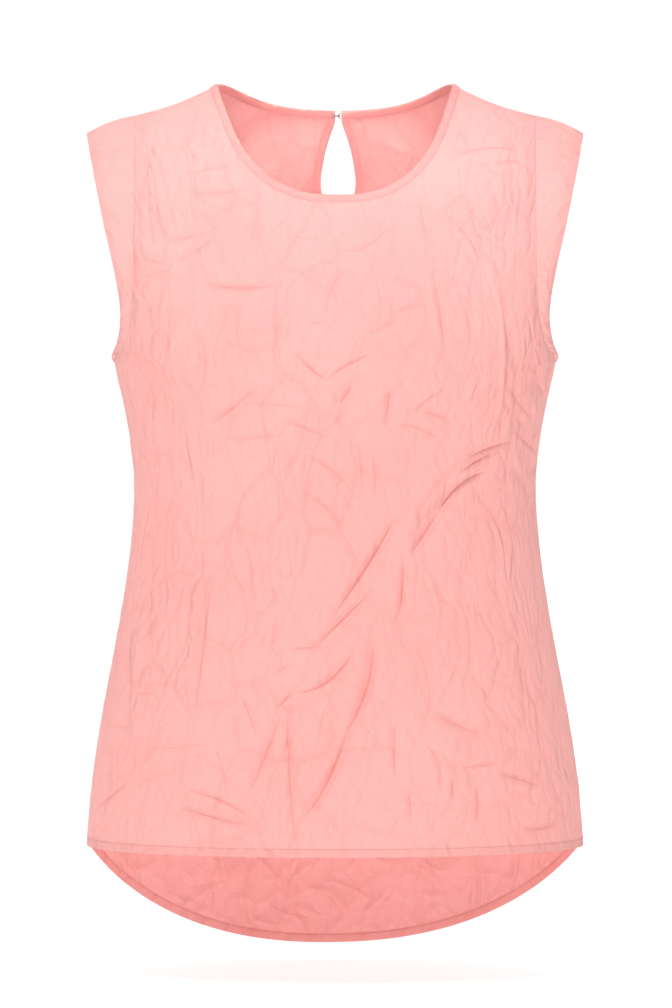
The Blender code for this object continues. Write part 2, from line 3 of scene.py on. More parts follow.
import bmesh
import bpy
import numpy as np
from mathutils import Euler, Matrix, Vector


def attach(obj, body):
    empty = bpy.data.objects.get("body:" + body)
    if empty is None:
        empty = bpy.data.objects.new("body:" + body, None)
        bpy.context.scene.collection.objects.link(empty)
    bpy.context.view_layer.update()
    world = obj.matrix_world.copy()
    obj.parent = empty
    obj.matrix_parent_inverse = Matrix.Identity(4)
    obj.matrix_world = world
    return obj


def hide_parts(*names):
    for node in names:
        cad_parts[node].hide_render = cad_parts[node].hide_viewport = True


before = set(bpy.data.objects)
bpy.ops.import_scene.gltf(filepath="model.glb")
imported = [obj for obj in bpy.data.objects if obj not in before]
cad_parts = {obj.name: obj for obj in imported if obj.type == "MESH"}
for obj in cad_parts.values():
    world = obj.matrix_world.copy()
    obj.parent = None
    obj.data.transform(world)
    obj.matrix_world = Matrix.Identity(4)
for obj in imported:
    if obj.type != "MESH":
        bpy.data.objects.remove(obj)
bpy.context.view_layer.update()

# ---------------------------------------------------------------- Front panel
# One piece of thin plain-woven coral cloth, crinkled all over, from the shoulder seams and
# the neck down to the hem. It is sewn to the back at the shoulders and sides and to the cap
# sleeves round the armholes. The blouse is filled out as when worn, and nobody is in it.
MM = 0.001
QUARTER = math.pi / 2
FRONT, BACK = -1, 1
FRONT_LENGTH = 607 * MM
TAIL_DROP = 92.7 * MM
TAIL_FLATNESS = 2.2
TAIL_SWEEP = 1.86
TAIL_LEAN = 1.8 * MM
HALF_ROUND = 245 * MM
SHOULDER_ROUND = 65 * MM
NECK_SHIFT = 2.2 * MM
SEAM_FADE = 9 * MM
NECK_FADE = 11 * MM

# Level sections of the body: height, half the width, depth of the front and of the back at
# the centre in millimetres, and squareness, where 2 is an ellipse.
SECTIONS = (
    # height, half width, front, back, squareness
    (60, 190.0, 58, 70, 3.2),
    (0, 190.0, 58, 70, 3.2),
    (-45, 188.5, 60, 78, 3.1),
    (-93, 183.0, 66, 90, 3.0),
    (-150, 177.5, 94, 99, 2.7),
    (-190, 176.3, 113, 101, 2.5),
    (-223, 175.8, 122, 99, 2.4),
    (-242, 171.8, 123, 96, 2.35),
    (-270, 166.0, 120, 92, 2.3),
    (-319, 160.3, 112, 86, 2.3),
    (-360, 162.3, 110, 88, 2.3),
    (-420, 170.6, 113, 96, 2.25),
    (-480, 181.8, 119, 105, 2.2),
    (-540, 192.0, 125, 113, 2.2),
    (-607, 198.4, 130, 121, 2.2),
    (-660, 201.0, 132, 125, 2.2),
    (-720, 203.0, 134, 128, 2.2),
)
# The ridge of the shoulders, then the finished neck and the armhole seam, in millimetres.
RIDGE = (
    # across, height
    (0, 36.0),
    (47, 28.5),
    (75, 14.0),
    (94, 0.0),
    (109, -8.0),
    (122, -13.8),
    (147, -21.8),
    (160, -25.2),
    (190, -33.0),
)
NECK_FRONT = (
    # across, drop
    (0, 93.2),
    (16, 92.6),
    (30, 90.0),
    (46, 82.9),
    (60, 72.3),
    (72, 57.6),
    (81, 39.5),
    (86.5, 25.0),
    (91, 11.5),
    (94, 0.0),
)
ARMHOLE = (
    # across, drop
    (160.0, 25.2),
    (158.6, 46.0),
    (158.4, 82.0),
    (158.4, 120.0),
    (158.6, 154.0),
    (159.8, 182.0),
    (163.0, 201.0),
    (169.5, 214.5),
    (175.8, 223.0),
)
# The broad folds of the front, seen from the front, in millimetres: the two ends, how far
# the middle bows aside, half the width and the lift, which is below 0 for a trough.
FRONT_FOLDS = (
    # x1, drop1, x2, drop2, bow, half width, lift
    (-121, 150, -92, 122, 4, 11, -2.1),
    (-146, 82, -144, 128, 3, 10, -1.2),
    (2, 132, 42, 112, 9, 11, -1.3),
    (76, 148, 87, 222, -3, 12, -1.2),
    (126, 168, 134, 296, 5, 14, 1.3),
    (-30, 217, 30, 217, -20, 12, -1.8),
    (-60, 244, -101, 278, 5, 12, -2.4),
    (-123, 262, -110, 330, -3, 13, -1.4),
    (12, 244, 1, 262, 2, 11, -1.8),
    (42, 250, 39, 276, 3, 11, -1.8),
    (62, 262, 92, 272, 3, 11, -2.1),
    (136, 290, 105, 303, 3, 11, -2.2),
    (117, 312, 60, 374, -7, 14, -3.6),
    (104, 296, 58, 346, -6, 11, 2.4),
    (52, 380, 46, 432, 4, 12, -2.4),
    (47, 350, -2, 424, 5, 14, -3.3),
    (30, 404, -14, 448, 3, 12, -2.8),
    (14, 454, -44, 494, 8, 14, -3.2),
    (30, 445, -24, 578, 9, 15, -3.9),
    (18, 470, -22, 560, 8, 11, 2.4),
    (-43, 498, -67, 562, 2, 12, -2.7),
    (-36, 500, -30, 592, -4, 12, -2.5),
    (-92, 393, -108, 500, 3, 15, 1.6),
    (-155, 400, -156, 512, 2, 15, 1.3),
    (-114, 562, -64, 584, 4, 12, -3.0),
    (76, 500, 113, 515, 3, 12, -2.2),
    (47, 507, 46, 550, 2, 12, -1.3),
    (150, 462, 154, 516, -2, 12, -1.3),
    (112, 552, 111, 584, 1, 11, -1.2),
    (140, 306, 158, 345, 3, 12, -2.2),
)
# Its creases: three points on each, half the width and the lift, in millimetres.
FRONT_CREASES = (
    # x1, drop1, x2, drop2, x3, drop3, half width, lift
    (-125, 147, -109, 137, -94, 125, 3.4, -1.1),
    (-153, 158, -141, 156, -129, 151, 3.4, -1.1),
    (-151, 142, -141, 146, -131, 149, 3.4, 1.1),
    (-103, 163, -76, 168, -43, 165, 3.4, -1.4),
    (-124, 77, -98, 73, -75, 68, 3.4, -0.8),
    (-119, 89, -93, 92, -64, 87, 3.4, -1.1),
    (-119, 91, -106, 97, -92, 104, 2.8, -0.8),
    (-147, 82, -146, 106, -143, 130, 3.4, -0.9),
    (-146, 54, -143, 60, -140, 66, 2.8, -0.8),
    (-133, 130, -111, 126, -90, 119, 3.4, -1.1),
    (-66, 131, -61, 127, -57, 120, 2.8, -0.8),
    (-51, 123, -44, 118, -38, 112, 2.8, -0.9),
    (-37, 126, -25, 128, -12, 128, 2.8, -0.8),
    (2, 136, 22, 136, 43, 118, 3.4, -1.1),
    (-12, 148, -5, 148, 2, 144, 2.8, -0.9),
    (9, 152, -2, 168, -8, 192, 4, -1.1),
    (67, 93, 69, 115, 74, 128, 3.4, -0.9),
    (85, 107, 105, 128, 113, 147, 3.4, -0.9),
    (75, 150, 80, 179, 86, 223, 3.4, -1.2),
    (25, 204, 39, 198, 50, 190, 3.4, -1.1),
    (40, 187, 53, 185, 66, 180, 2.8, -0.9),
    (-25, 195, -15, 196, -5, 194, 2.8, -0.9),
    (-42, 190, -45, 205, -48, 219, 3.4, -0.9),
    (-29, 219, -19, 231, -6, 240, 3.4, -1.6),
    (-6, 240, 9, 229, 29, 219, 3.4, -1.6),
    (12, 244, 8, 253, 2, 259, 3.4, -1.6),
    (-60, 246, -81, 263, -99, 274, 3.4, -1.2),
    (-73, 259, -47, 259, -22, 262, 4, 0.9),
    (-42, 272, -24, 277, -6, 285, 3.4, -1.1),
    (-87, 284, -62, 285, -37, 281, 3.4, -0.9),
    (42, 249, 41, 262, 39, 275, 3.4, -1.6),
    (87, 246, 74, 254, 60, 265, 3.4, -1.2),
    (68, 265, 80, 268, 91, 273, 2.8, -1.1),
    (111, 241, 108, 250, 105, 259, 3.4, -1.2),
    (127, 169, 131, 224, 126, 293, 4, 1.5),
    (137, 287, 121, 292, 105, 299, 3.4, -1.8),
    (123, 297, 111, 303, 97, 311, 3.4, -1.6),
    (118, 311, 99, 321, 81, 342, 4, -2.0),
    (81, 342, 70, 359, 60, 373, 4, -1.9),
    (53, 377, 52, 410, 46, 427, 3.4, -1.5),
    (17, 288, 20, 308, 22, 329, 3.4, -1.1),
    (29, 295, 31, 312, 31, 329, 3.4, -1.1),
    (-120, 261, -115, 294, -109, 329, 4, -1.1),
    (134, 243, 143, 256, 153, 266, 3.4, -1.2),
    (139, 276, 149, 286, 160, 294, 3.4, -1.2),
    (-161, 193, -166, 205, -170, 216, 2.8, -1.2),
    (88, 68, 114, 56, 148, 56, 3.4, -1.1),
    (127, 67, 138, 65, 148, 66, 2.8, -1.1),
    (157, 213, 160, 220, 162, 226, 2.8, -1.5),
    (46, 348, 27, 381, -2, 423, 4, -2.0),
    (29, 402, 4, 427, -14, 444, 4, -1.8),
    (-32, 447, -22, 447, -12, 444, 2.8, -1.1),
    (14, 450, -6, 473, -32, 481, 5, -1.9),
    (-32, 481, -38, 486, -45, 493, 3.4, -1.6),
    (29, 443, 25, 477, 9, 512, 4, -1.9),
    (9, 512, -6, 550, -25, 578, 4, -1.8),
    (-42, 497, -54, 529, -68, 561, 3.4, -1.4),
    (-37, 497, -35, 546, -31, 594, 3.4, -1.4),
    (-95, 392, -101, 449, -108, 501, 4, 1.4),
    (-73, 485, -66, 499, -60, 515, 3.4, -1.1),
    (-45, 420, -47, 437, -50, 454, 2.8, -0.9),
    (-48, 466, -42, 463, -35, 458, 2.8, -1.1),
    (46, 504, 46, 525, 46, 546, 3.4, -1.1),
    (58, 553, 58, 569, 58, 584, 2.8, -1.1),
    (-114, 557, -87, 565, -63, 579, 3.4, -1.6),
    (-120, 570, -91, 578, -65, 583, 3.4, -1.6),
    (-160, 551, -171, 560, -190, 577, 3.4, -1.2),
    (-142, 525, -120, 524, -99, 520, 2.8, -0.8),
    (76, 497, 94, 506, 112, 513, 3.4, -1.2),
    (99, 539, 112, 538, 126, 536, 2.8, -1.2),
    (126, 544, 142, 549, 160, 556, 3.4, -1.4),
    (91, 546, 91, 556, 91, 566, 2.8, -1.2),
    (110, 554, 111, 568, 110, 582, 2.8, -1.2),
    (147, 463, 151, 489, 152, 514, 3.4, 1.1),
    (146, 587, 160, 589, 174, 585, 2.8, -1.4),
    (-177, 511, -165, 510, -155, 510, 2.8, -0.8),
    (-155, 484, -147, 484, -139, 482, 2.8, -0.8),
    (-137, 418, -145, 432, -153, 445, 3.4, -0.9),
    (-160, 411, -159, 466, -160, 515, 3.4, 1.2),
    (12, 259, 2, 271, -10, 280, 2.8, -0.9),
    (-23, 298, -4, 309, 13, 326, 3.4, -1.1),
    (-27, 325, -4, 342, 8, 363, 3.4, -0.9),
    (66, 379, 80, 410, 78, 441, 3.4, 0.8),
    (93, 402, 105, 441, 98, 480, 4, -0.8),
    (62, 441, 73, 479, 69, 502, 3.4, -0.8),
    (-81, 348, -66, 379, -67, 418, 4, -0.8),
    (-129, 348, -132, 379, -129, 410, 3.4, 0.8),
    (113, 332, 129, 356, 133, 387, 3.4, -0.9),
    (66, 519, 79, 533, 81, 556, 2.8, -0.9),
    (-4, 487, -10, 502, -13, 521, 2.8, 0.9),
    (-93, 522, -86, 545, -82, 564, 2.8, -0.8),
    (145, 387, 153, 419, 155, 442, 3.4, -0.9),
    (-145, 332, -152, 364, -154, 392, 3.4, -1.1),
    (168, 316, 172, 348, 177, 380, 3.4, -1.1),
    (-166, 276, -159, 309, -162, 336, 3.4, -1.1),
    (-105, 201, -101, 232, -108, 255, 3.4, -0.8),
    (-74, 178, -76, 201, -71, 225, 3.4, -0.7),
    (50, 275, 66, 278, 81, 286, 2.8, -1.1),
    (97, 177, 105, 201, 101, 224, 3.4, -0.8),
    (31, 162, 35, 178, 32, 201, 3.4, -0.8),
    (-85, 209, -65, 218, -48, 217, 2.8, 0.8),
    (-132, 177, -130, 208, -136, 239, 3.4, -0.8),
)


def spline(knots, values):
    """The smooth curve through the rows of a table: a natural cubic spline."""
    knots = np.asarray(knots, float)
    values = np.asarray(values, float)
    steps = np.diff(knots)
    slopes = np.diff(values) / steps
    system = np.eye(len(knots))
    bends = np.zeros(len(knots))
    for i in range(1, len(knots) - 1):
        system[i, i - 1 : i + 2] = steps[i - 1], 2 * (steps[i - 1] + steps[i]), steps[i]
        bends[i] = 6 * (slopes[i] - slopes[i - 1])
    bends = np.linalg.solve(system, bends)

    def at(x):
        x = np.asarray(x, float)
        i = np.clip(np.searchsorted(knots, x) - 1, 0, len(steps) - 1)
        after = x - knots[i]
        slope = slopes[i] - steps[i] * (2 * bends[i] + bends[i + 1]) / 6
        jerk = (bends[i + 1] - bends[i]) / (6 * steps[i])
        return values[i] + after * (slope + after * (bends[i] / 2 + after * jerk))

    return at


heights, half_widths, fronts, backs, squares = np.array(sorted(SECTIONS)).T
half_width = spline(heights * MM, half_widths * MM)
squareness = spline(heights * MM, squares)
depth = {
    FRONT: spline(heights * MM, fronts * MM),
    BACK: spline(heights * MM, backs * MM),
}
ridge_table = spline(*(np.array(RIDGE).T * MM))
SHOULDER_WIDTH = float(half_width(0.0))


def ridge(across):
    """Height of the shoulder's ridge at a flat coordinate."""
    return ridge_table(SHOULDER_WIDTH * np.abs(np.sin(across / HALF_ROUND * QUARTER)))


def flat(x, height):
    """Flat coordinates of a point of the body seen from the front, one row each."""
    x, height = np.broadcast_arrays(np.asarray(x, float), np.asarray(height, float))
    across = np.arcsin(np.clip(x / half_width(height), -1, 1)) / QUARTER * HALF_ROUND
    below = np.clip(ridge(across) - height, 0, None)
    turn = np.arccos(np.clip(1 - below / SHOULDER_ROUND, 0, 1))
    over = -ridge(across) + SHOULDER_ROUND * (turn - QUARTER + 1)
    return np.stack([across, np.where(below < SHOULDER_ROUND, over, -height)], -1)


def ridge_down(across):
    """The flat coordinate `down` of the shoulder seam."""
    return -ridge(across) - SHOULDER_ROUND * (QUARTER - 1)


def body(points, side):
    """Lays flat points on the bare form of the front or the back."""
    across, down = np.asarray(points, float).T
    top = ridge(across)
    turn = np.minimum((down + top) / SHOULDER_ROUND + QUARTER - 1, QUARTER)
    over = top - SHOULDER_ROUND * (1 - np.cos(turn))
    height = np.where(turn < QUARTER, over, -down)
    sine = np.sin(across / HALF_ROUND * QUARTER)
    power = squareness(height)
    bulge = np.clip(1 - np.abs(sine) ** power, 0, 1) ** (1 / power)
    bulge = bulge * np.sign(np.cos(across / HALF_ROUND * QUARTER))
    forward = side * depth[side](height) * bulge * np.sin(turn)
    return np.stack([half_width(height) * sine, forward, height], -1)


def unit(vectors):
    return vectors / np.linalg.norm(vectors, axis=-1, keepdims=True)


def slopes_of(points, side, step=0.05 * MM):
    """How a flat step across and a flat step down move a point of the form."""
    moves = []
    for move in ((step, 0), (0, step)):
        moves.append((body(points + move, side) - body(points - move, side)) / (2 * step))
    return moves


def outward(points, side):
    """The form's outward normals."""
    right, down = slopes_of(points, side)
    return unit(np.cross(down, right)) * -side


def lay(points, side, lift):
    """Lays flat points on the form, lifted off it."""
    return body(points, side) + outward(points, side) * np.reshape(lift, (-1, 1))


def along(points):
    """Length along a row of points."""
    lengths = np.linalg.norm(np.diff(points, axis=0), axis=1)
    return np.concatenate([[0], np.cumsum(lengths)])


def evenly(points, side, step):
    """A flat path again, with points at even steps on the form."""
    reached = along(body(points, side))
    stations = np.linspace(0, reached[-1], max(2, round(reached[-1] / step) + 1))
    return np.stack([np.interp(stations, reached, column) for column in points.T], -1)


def edge_path(rows):
    """Flat path of half an edge, from a table of widths and drops."""
    rows = np.array(rows, float) * MM
    reached = along(rows)
    stations = np.linspace(0, reached[-1], 80)
    x, drop = [spline(reached, column)(stations) for column in rows.T]
    return flat(x, -drop)


def mirrored(path):
    """A path from the wearer's left, carried on round to the wearer's right."""
    other = path[::-1] * (-1, 1)
    joined = np.allclose(path[-1], other[0])
    return np.concatenate([path, other[1:] if joined else other])


def shifted(path):
    """Moves the neck and keyhole sideways, as they sit on the body, and no shoulder."""
    width = np.abs(path[:, :1]) / flat(NECK_FRONT[-1][0] * MM, 0.0)[0]
    return path + (1, 0) * (NECK_SHIFT * np.clip(1 - width**2, 0, 1))


def nearest(points, path):
    """Signed distance of flat points from a flat path, and how far along it they are."""
    best = np.full(len(points), np.inf)
    place = np.zeros(len(points))
    reached = along(path)
    for i, (start, end) in enumerate(zip(path[:-1], path[1:])):
        run = end - start
        reach = np.clip((points - start) @ run / max(run @ run, 1e-12), 0, 1)
        gap = points - start - reach[:, None] * run
        aside = run[0] * gap[:, 1] - run[1] * gap[:, 0]
        distance = np.linalg.norm(gap, axis=1) * np.where(aside < 0, -1, 1)
        closer = np.abs(distance) < np.abs(best)
        best[closer] = distance[closer]
        place[closer] = reached[i] + reach[closer] * (reached[i + 1] - reached[i])
    return best, place / reached[-1]


def inside(points, loop):
    """Which flat points lie inside a closed loop."""
    x, y = points.T
    hits = np.zeros(len(points), bool)
    for (x1, y1), (x2, y2) in zip(loop, np.roll(loop, -1, axis=0)):
        if y1 == y2:
            continue
        crosses = (y1 > y) != (y2 > y)
        hits ^= crosses & (x < (x2 - x1) * (y - y1) / (y2 - y1) + x1)
    return hits


def fold_line(x1, drop1, x2, drop2, bow):
    """A fold's centre line in flat coordinates, from its two ends."""
    start, end = np.array([x1, -drop1]), np.array([x2, -drop2])
    run = end - start
    aside = np.array([-run[1], run[0]]) / np.linalg.norm(run)
    t = np.linspace(0, 1, 6)[:, None]
    return flat(*(start + run * t + aside * bow * 4 * t * (1 - t)).T)


def crease_line(x1, drop1, x2, drop2, x3, drop3):
    """A crease's centre line in flat coordinates, through its three points."""
    t = np.linspace(0, 1, 7)[:, None]
    start, middle, end = np.array([(x1, -drop1), (x2, -drop2), (x3, -drop3)])
    pull = 2 * middle - (start + end) / 2
    return flat(*((1 - t) ** 2 * start + 2 * t * (1 - t) * pull + t**2 * end).T)


def crinkle_lines(seed, count, low, high, upright):
    """Short creases scattered over a flat region, the small ones the most common."""
    chance = np.random.RandomState(seed)
    found = []
    for _ in range(count):
        middle = chance.uniform(low, high)
        size = chance.rand() ** 2.5
        length = (10 + 38 * size) * MM
        angle = chance.normal(QUARTER, 0.35) if chance.rand() < upright else 0
        if not angle:
            angle = chance.uniform(0, math.pi)
        way = np.array([math.cos(angle), math.sin(angle)])
        t = np.linspace(-0.5, 0.5, 5)[:, None]
        bow = chance.normal(0, 0.12) * length
        line = middle + way * t * length + way[::-1] * (1, -1) * bow * (1 - 4 * t**2)
        half = (2.6 + 2.4 * size) * MM
        lift = (0.22 + 0.38 * size * chance.rand()) * MM
        found.append((line, half, lift * chance.choice((-1, -1, 1))))
    return found


def creased(points, broad, sharp):
    """How creases lift flat points, and the offset from and height of the nearest one."""
    lift = np.zeros(len(points))
    offset = np.full(len(points), SHARP_REACH)
    height = np.zeros(len(points))
    for line, half, amount in broad:
        reach = half + along(line)[-1] / 2
        near = np.linalg.norm(points - line[len(line) // 2], axis=1) < 1.2 * reach
        away, place = nearest(points[near], line)
        end = np.clip(4 * place * (1 - place), 0, 1) ** 0.5
        level = np.clip(np.where(away < 0, -away / STEEP, away) / half, 0, 1)
        lift[near] += amount * (0.25 + 0.75 * end) * (1 + np.cos(np.pi * level)) / 2
    for line, half, amount in sharp:
        reach = 2.2 * half + along(line)[-1] / 2
        near = np.linalg.norm(points - line[len(line) // 2], axis=1) < 1.2 * reach
        away, place = nearest(points[near], line)
        end = np.clip(4 * place * (1 - place), 0, 1) ** 0.6
        level = np.clip(np.abs(away) / half, 0, 1)
        beside = np.clip(np.abs(away - 1.1 * half) / half, 0, 1)
        move = (1 - level) ** 2 * (1 + level) - 0.4 * (1 + np.cos(np.pi * beside)) / 2
        lift[near] += amount * end * move
        crest = amount * end * (1 - level) ** 0.5
        wins = np.abs(crest) > np.abs(height[near])
        here = np.flatnonzero(near)[wins]
        offset[here] = away[wins]
        height[here] = crest[wins]
    return lift, offset, height


SHARP_REACH = 20 * MM
STEEP = 0.55


def add_creases(side, folds, lines, crinkles):
    """Reads the tables of one panel's broad folds, creases and scattered crinkles."""
    broad, sharp = creases[side]
    for *ends, half, lift in np.array(folds) * MM:
        broad.append((fold_line(*ends), half, lift))
    for *ends, half, lift in np.array(lines) * MM:
        sharp.append((crease_line(*ends), half, lift))
    for seed, count, *region, upright in crinkles:
        corners = np.reshape(region, (2, 2)) * MM
        sharp.extend(crinkle_lines(seed, count, *corners, upright))


def armhole_path():
    """The armhole seam in flat coordinates, from the shoulder to the underarm."""
    x, drop = np.array(ARMHOLE).T * MM
    rows = flat(x, -drop)
    rows[0, 1] = ridge_down(rows[0, 0])
    rows[-1] = HALF_ROUND, drop[-1]
    last = len(rows) - 1
    stations = np.linspace(0, last, 3 * last + 1)
    columns = [spline(range(last + 1), column)(stations) for column in rows.T]
    return np.stack(columns, -1)


def hem_drop(across, side):
    """Depth of the finished hem: level in front, and behind a rounded tail, which hangs a
    little lower on the wearer's right."""
    if side == FRONT:
        return np.full(len(across), FRONT_LENGTH)
    part = np.clip(across / HALF_ROUND, -1, 1)
    tail = TAIL_DROP * (1 - np.abs(part) ** TAIL_FLATNESS) ** TAIL_SWEEP
    return FRONT_LENGTH + tail - TAIL_LEAN * np.sin(math.pi * part)


neck_front = shifted(mirrored(edge_path(NECK_FRONT[::-1])))
armhole = armhole_path()
side_edge = np.concatenate(
    [armhole[:-1], np.linspace(armhole[-1], (HALF_ROUND, FRONT_LENGTH), 60)]
)
FRONT_CRINKLES = (
    # seed, count, low across, low down, high across, high down, share upright
    (7, 760, -235, 90, 235, 600, 0.35),
    (8, 90, -242, 230, -190, 600, 0.75),
    (9, 120, 185, 210, 242, 600, 0.75),
)
creases = {FRONT: ([], []), BACK: ([], [])}
add_creases(FRONT, FRONT_FOLDS, FRONT_CREASES, FRONT_CRINKLES)
necks = {FRONT: [neck_front]}


def relief(points, side):
    """The lift of the cloth off the form, and the offset and height of its creases.
    They fade out at the seams and under the bindings, and the hem is puckered."""
    across, down = points.T
    lift, offset, height = creased(points, *creases[side])
    fade = np.ones(len(points))
    seams = np.stack([np.abs(across), down], -1)
    shoulder = np.stack([np.linspace(0, side_edge[0, 0], 30)] * 2, -1)
    shoulder[:, 1] = ridge_down(shoulder[:, 0])
    for path in (side_edge, shoulder):
        fade *= np.clip(np.abs(nearest(seams, path)[0]) / SEAM_FADE, 0, 1)
    for path in necks[side]:
        fade *= np.clip(np.abs(nearest(points, path)[0]) / NECK_FADE - 0.5, 0, 1)
    above = hem_drop(across, side) - down
    wave = np.sin(across / (4.1 * MM) + 2.3 * np.sin(across / (19 * MM)))
    pucker = 0.16 * MM * (0.5 + 0.5 * np.sin(across / (31 * MM) + side)) * wave
    lift = lift * fade * (0.45 + 0.55 * np.clip(above / (14 * MM), 0, 1))
    lift += pucker * np.exp(-((above - 6 * MM) / (7 * MM)) ** 2) * np.clip(fade, 0, 1)
    return lift, offset, height * fade


CORAL = (0.965, 0.50, 0.468, 1)
DEEPER_CORAL = (0.95, 0.44, 0.41, 1)
# Painted shade: the deeper coral that the cloth's creases and facet valleys are coloured.
CREASE_SHADE_CORAL = (0.90, 0.30, 0.27, 1)
LIGHT_THROUGH = 0.12
# The weave's threads and the crinkle's broad and small facets: how many to a metre. A
# thread stays the same for longer along its run.
THREADS = 2600.0
THREAD_RUNS = 45.0
BROAD_FACETS = 30.0
SMALL_FACETS = 85.0
LINE_WIDTH = 2 * MM


class Socket:
    """An output of a shader tree, with arithmetic."""

    def __init__(self, tree, link):
        self.tree = tree
        self.link = link

    def math(self, operation, *others):
        sockets = {0: self, **dict(enumerate(others, 1))}
        return node(self.tree, "ShaderNodeMath", {"operation": operation}, sockets)

    def reflected(self, operation, other):
        sockets = {0: other, 1: self}
        return node(self.tree, "ShaderNodeMath", {"operation": operation}, sockets)

    def __add__(self, other):
        return self.math("ADD", other)

    def __radd__(self, other):
        return self.reflected("ADD", other)

    def __sub__(self, other):
        return self.math("SUBTRACT", other)

    def __rsub__(self, other):
        return self.reflected("SUBTRACT", other)

    def __mul__(self, other):
        return self.math("MULTIPLY", other)

    def __rmul__(self, other):
        return self.reflected("MULTIPLY", other)

    def __abs__(self):
        return self.math("ABSOLUTE")

    def clamped(self, low, high):
        return self.math("MAXIMUM", low).math("MINIMUM", high)


def node(tree, kind, settings, sockets, output=0):
    """Adds a node with its settings, and its inputs by name or number."""
    made = tree.nodes.new(kind)
    for name, value in settings.items():
        setattr(made, name, value)
    for key, value in sockets.items():
        if isinstance(value, Socket):
            tree.links.new(value.link, made.inputs[key])
        else:
            made.inputs[key].default_value = value
    return Socket(tree, made.outputs[output])


def scaled(tree, vector, scale):
    """A vector stretched along its axes."""
    settings = {"operation": "MULTIPLY"}
    return node(tree, "ShaderNodeVectorMath", settings, {0: vector, 1: scale})


def mixed(tree, share, first, second):
    """Two colours mixed."""
    sockets = {0: share, 6: first, 7: second}
    return node(tree, "ShaderNodeMix", {"data_type": "RGBA"}, sockets, 2)


def cloth(name, colour, shade, crinkle=1.0, creases_too=True, start=0.0):
    """Thin crinkled plain weave: uneven threads, small facets parted by fine creases, and
    the larger creases of the panels. Shade is painted into every crease: the base colour
    turns a deeper coral there. The pattern begins at another place of the weave for another
    start."""
    made = bpy.data.materials.new(name)
    made.use_nodes = True
    tree = made.node_tree
    shader = tree.nodes["Principled BSDF"]
    shader.inputs["Roughness"].default_value = 0.82
    shader.inputs["Sheen Weight"].default_value = 0.12
    shader.inputs["Sheen Roughness"].default_value = 0.45
    shader.inputs["Specular IOR Level"].default_value = 0.25
    woven = node(tree, "ShaderNodeTexCoord", {}, {}, "UV")

    def noise(vector, scale, detail, output=0):
        settings = {"noise_dimensions": "2D"}
        sockets = {"Vector": vector, "Scale": scale, "Detail": detail}
        return node(tree, "ShaderNodeTexNoise", settings, sockets, output)

    def facets(vector, scale):
        settings = {"feature": "DISTANCE_TO_EDGE", "voronoi_dimensions": "2D"}
        sockets = {"Vector": vector, "Scale": scale}
        return node(tree, "ShaderNodeTexVoronoi", settings, sockets).math("MINIMUM", 0.3)

    warp = noise(scaled(tree, woven, (THREADS, THREAD_RUNS, 1.0)), 1.0, 0.0)
    weft = noise(scaled(tree, woven, (THREAD_RUNS, THREADS, 1.0)), 1.0, 0.0)
    uneven = warp + weft
    patches = noise(woven, 11.0, 2.0)
    tone = (patches - 0.5) * 1.1 + (uneven - 1.0) * 0.45 + 0.5
    tinted = mixed(tree, tone.clamped(0.0, 1.0), shade, colour)
    beside = abs(node(tree, "ShaderNodeSeparateXYZ", {}, {0: woven}, 0)) - 0.15
    worn = ((noise(woven, 8.0, 1.0) - 0.36) * 3.2).math("MAXIMUM", beside * 9.0)
    worn = worn.clamped(0.42, 0.64) * crinkle
    push = noise(woven, 26.0, 2.0, 1)
    sockets = {0: woven, 1: (start, start, 0.0)}
    begun = node(tree, "ShaderNodeVectorMath", {"operation": "ADD"}, sockets)
    settings = {"operation": "MULTIPLY_ADD"}
    sockets = {0: push, 1: (0.016, 0.016, 0.0), 2: begun}
    bent = node(tree, "ShaderNodeVectorMath", settings, sockets)
    drawn = scaled(tree, bent, (1.0, 0.55, 1.0))
    broad = facets(drawn, BROAD_FACETS)
    small = facets(drawn, SMALL_FACETS)
    height = (broad * 9.0 + small * 4.6) * worn
    # Painted shade: how far the base colour turns a deeper coral in the valleys between the
    # facets and along the panels' creases, where shade falls.
    between = ((0.07 - broad) * 9.0).math("MAXIMUM", 0.0)
    between = between + ((0.06 - small) * 5.0).math("MAXIMUM", 0.0)
    painted_crease_shade = between * worn * 0.55
    if creases_too:
        settings = {"attribute_name": "crease_offset"}
        away = node(tree, "ShaderNodeAttribute", settings, {}, "Fac")
        settings = {"attribute_name": "crease_height"}
        deep = node(tree, "ShaderNodeAttribute", settings, {}, "Fac")
        line = (1.0 - abs(away) * (1 / LINE_WIDTH)).clamped(0.0, 1.0)
        crest = line * line * deep
        height = height + crest * 360.0
        painted_crease_shade = painted_crease_shade + abs(crest) * 520.0
    share = painted_crease_shade.math("MINIMUM", 0.8)
    # The painted crease shade mixed into the base colour.
    crease_shaded_colour = mixed(tree, share, tinted, CREASE_SHADE_CORAL)
    tree.links.new(crease_shaded_colour.link, shader.inputs["Base Color"])
    sockets = {"Strength": 1.0, "Distance": 0.001, "Height": height}
    bump = node(tree, "ShaderNodeBump", {}, sockets)
    tree.links.new(bump.link, shader.inputs["Normal"])
    thin = node(tree, "ShaderNodeBsdfTranslucent", {}, {"Color": colour})
    seen = Socket(tree, shader.outputs["BSDF"])
    both = node(tree, "ShaderNodeMixShader", {}, {0: LIGHT_THROUGH, 1: seen, 2: thin})
    tree.links.new(both.link, tree.nodes["Material Output"].inputs["Surface"])
    return made


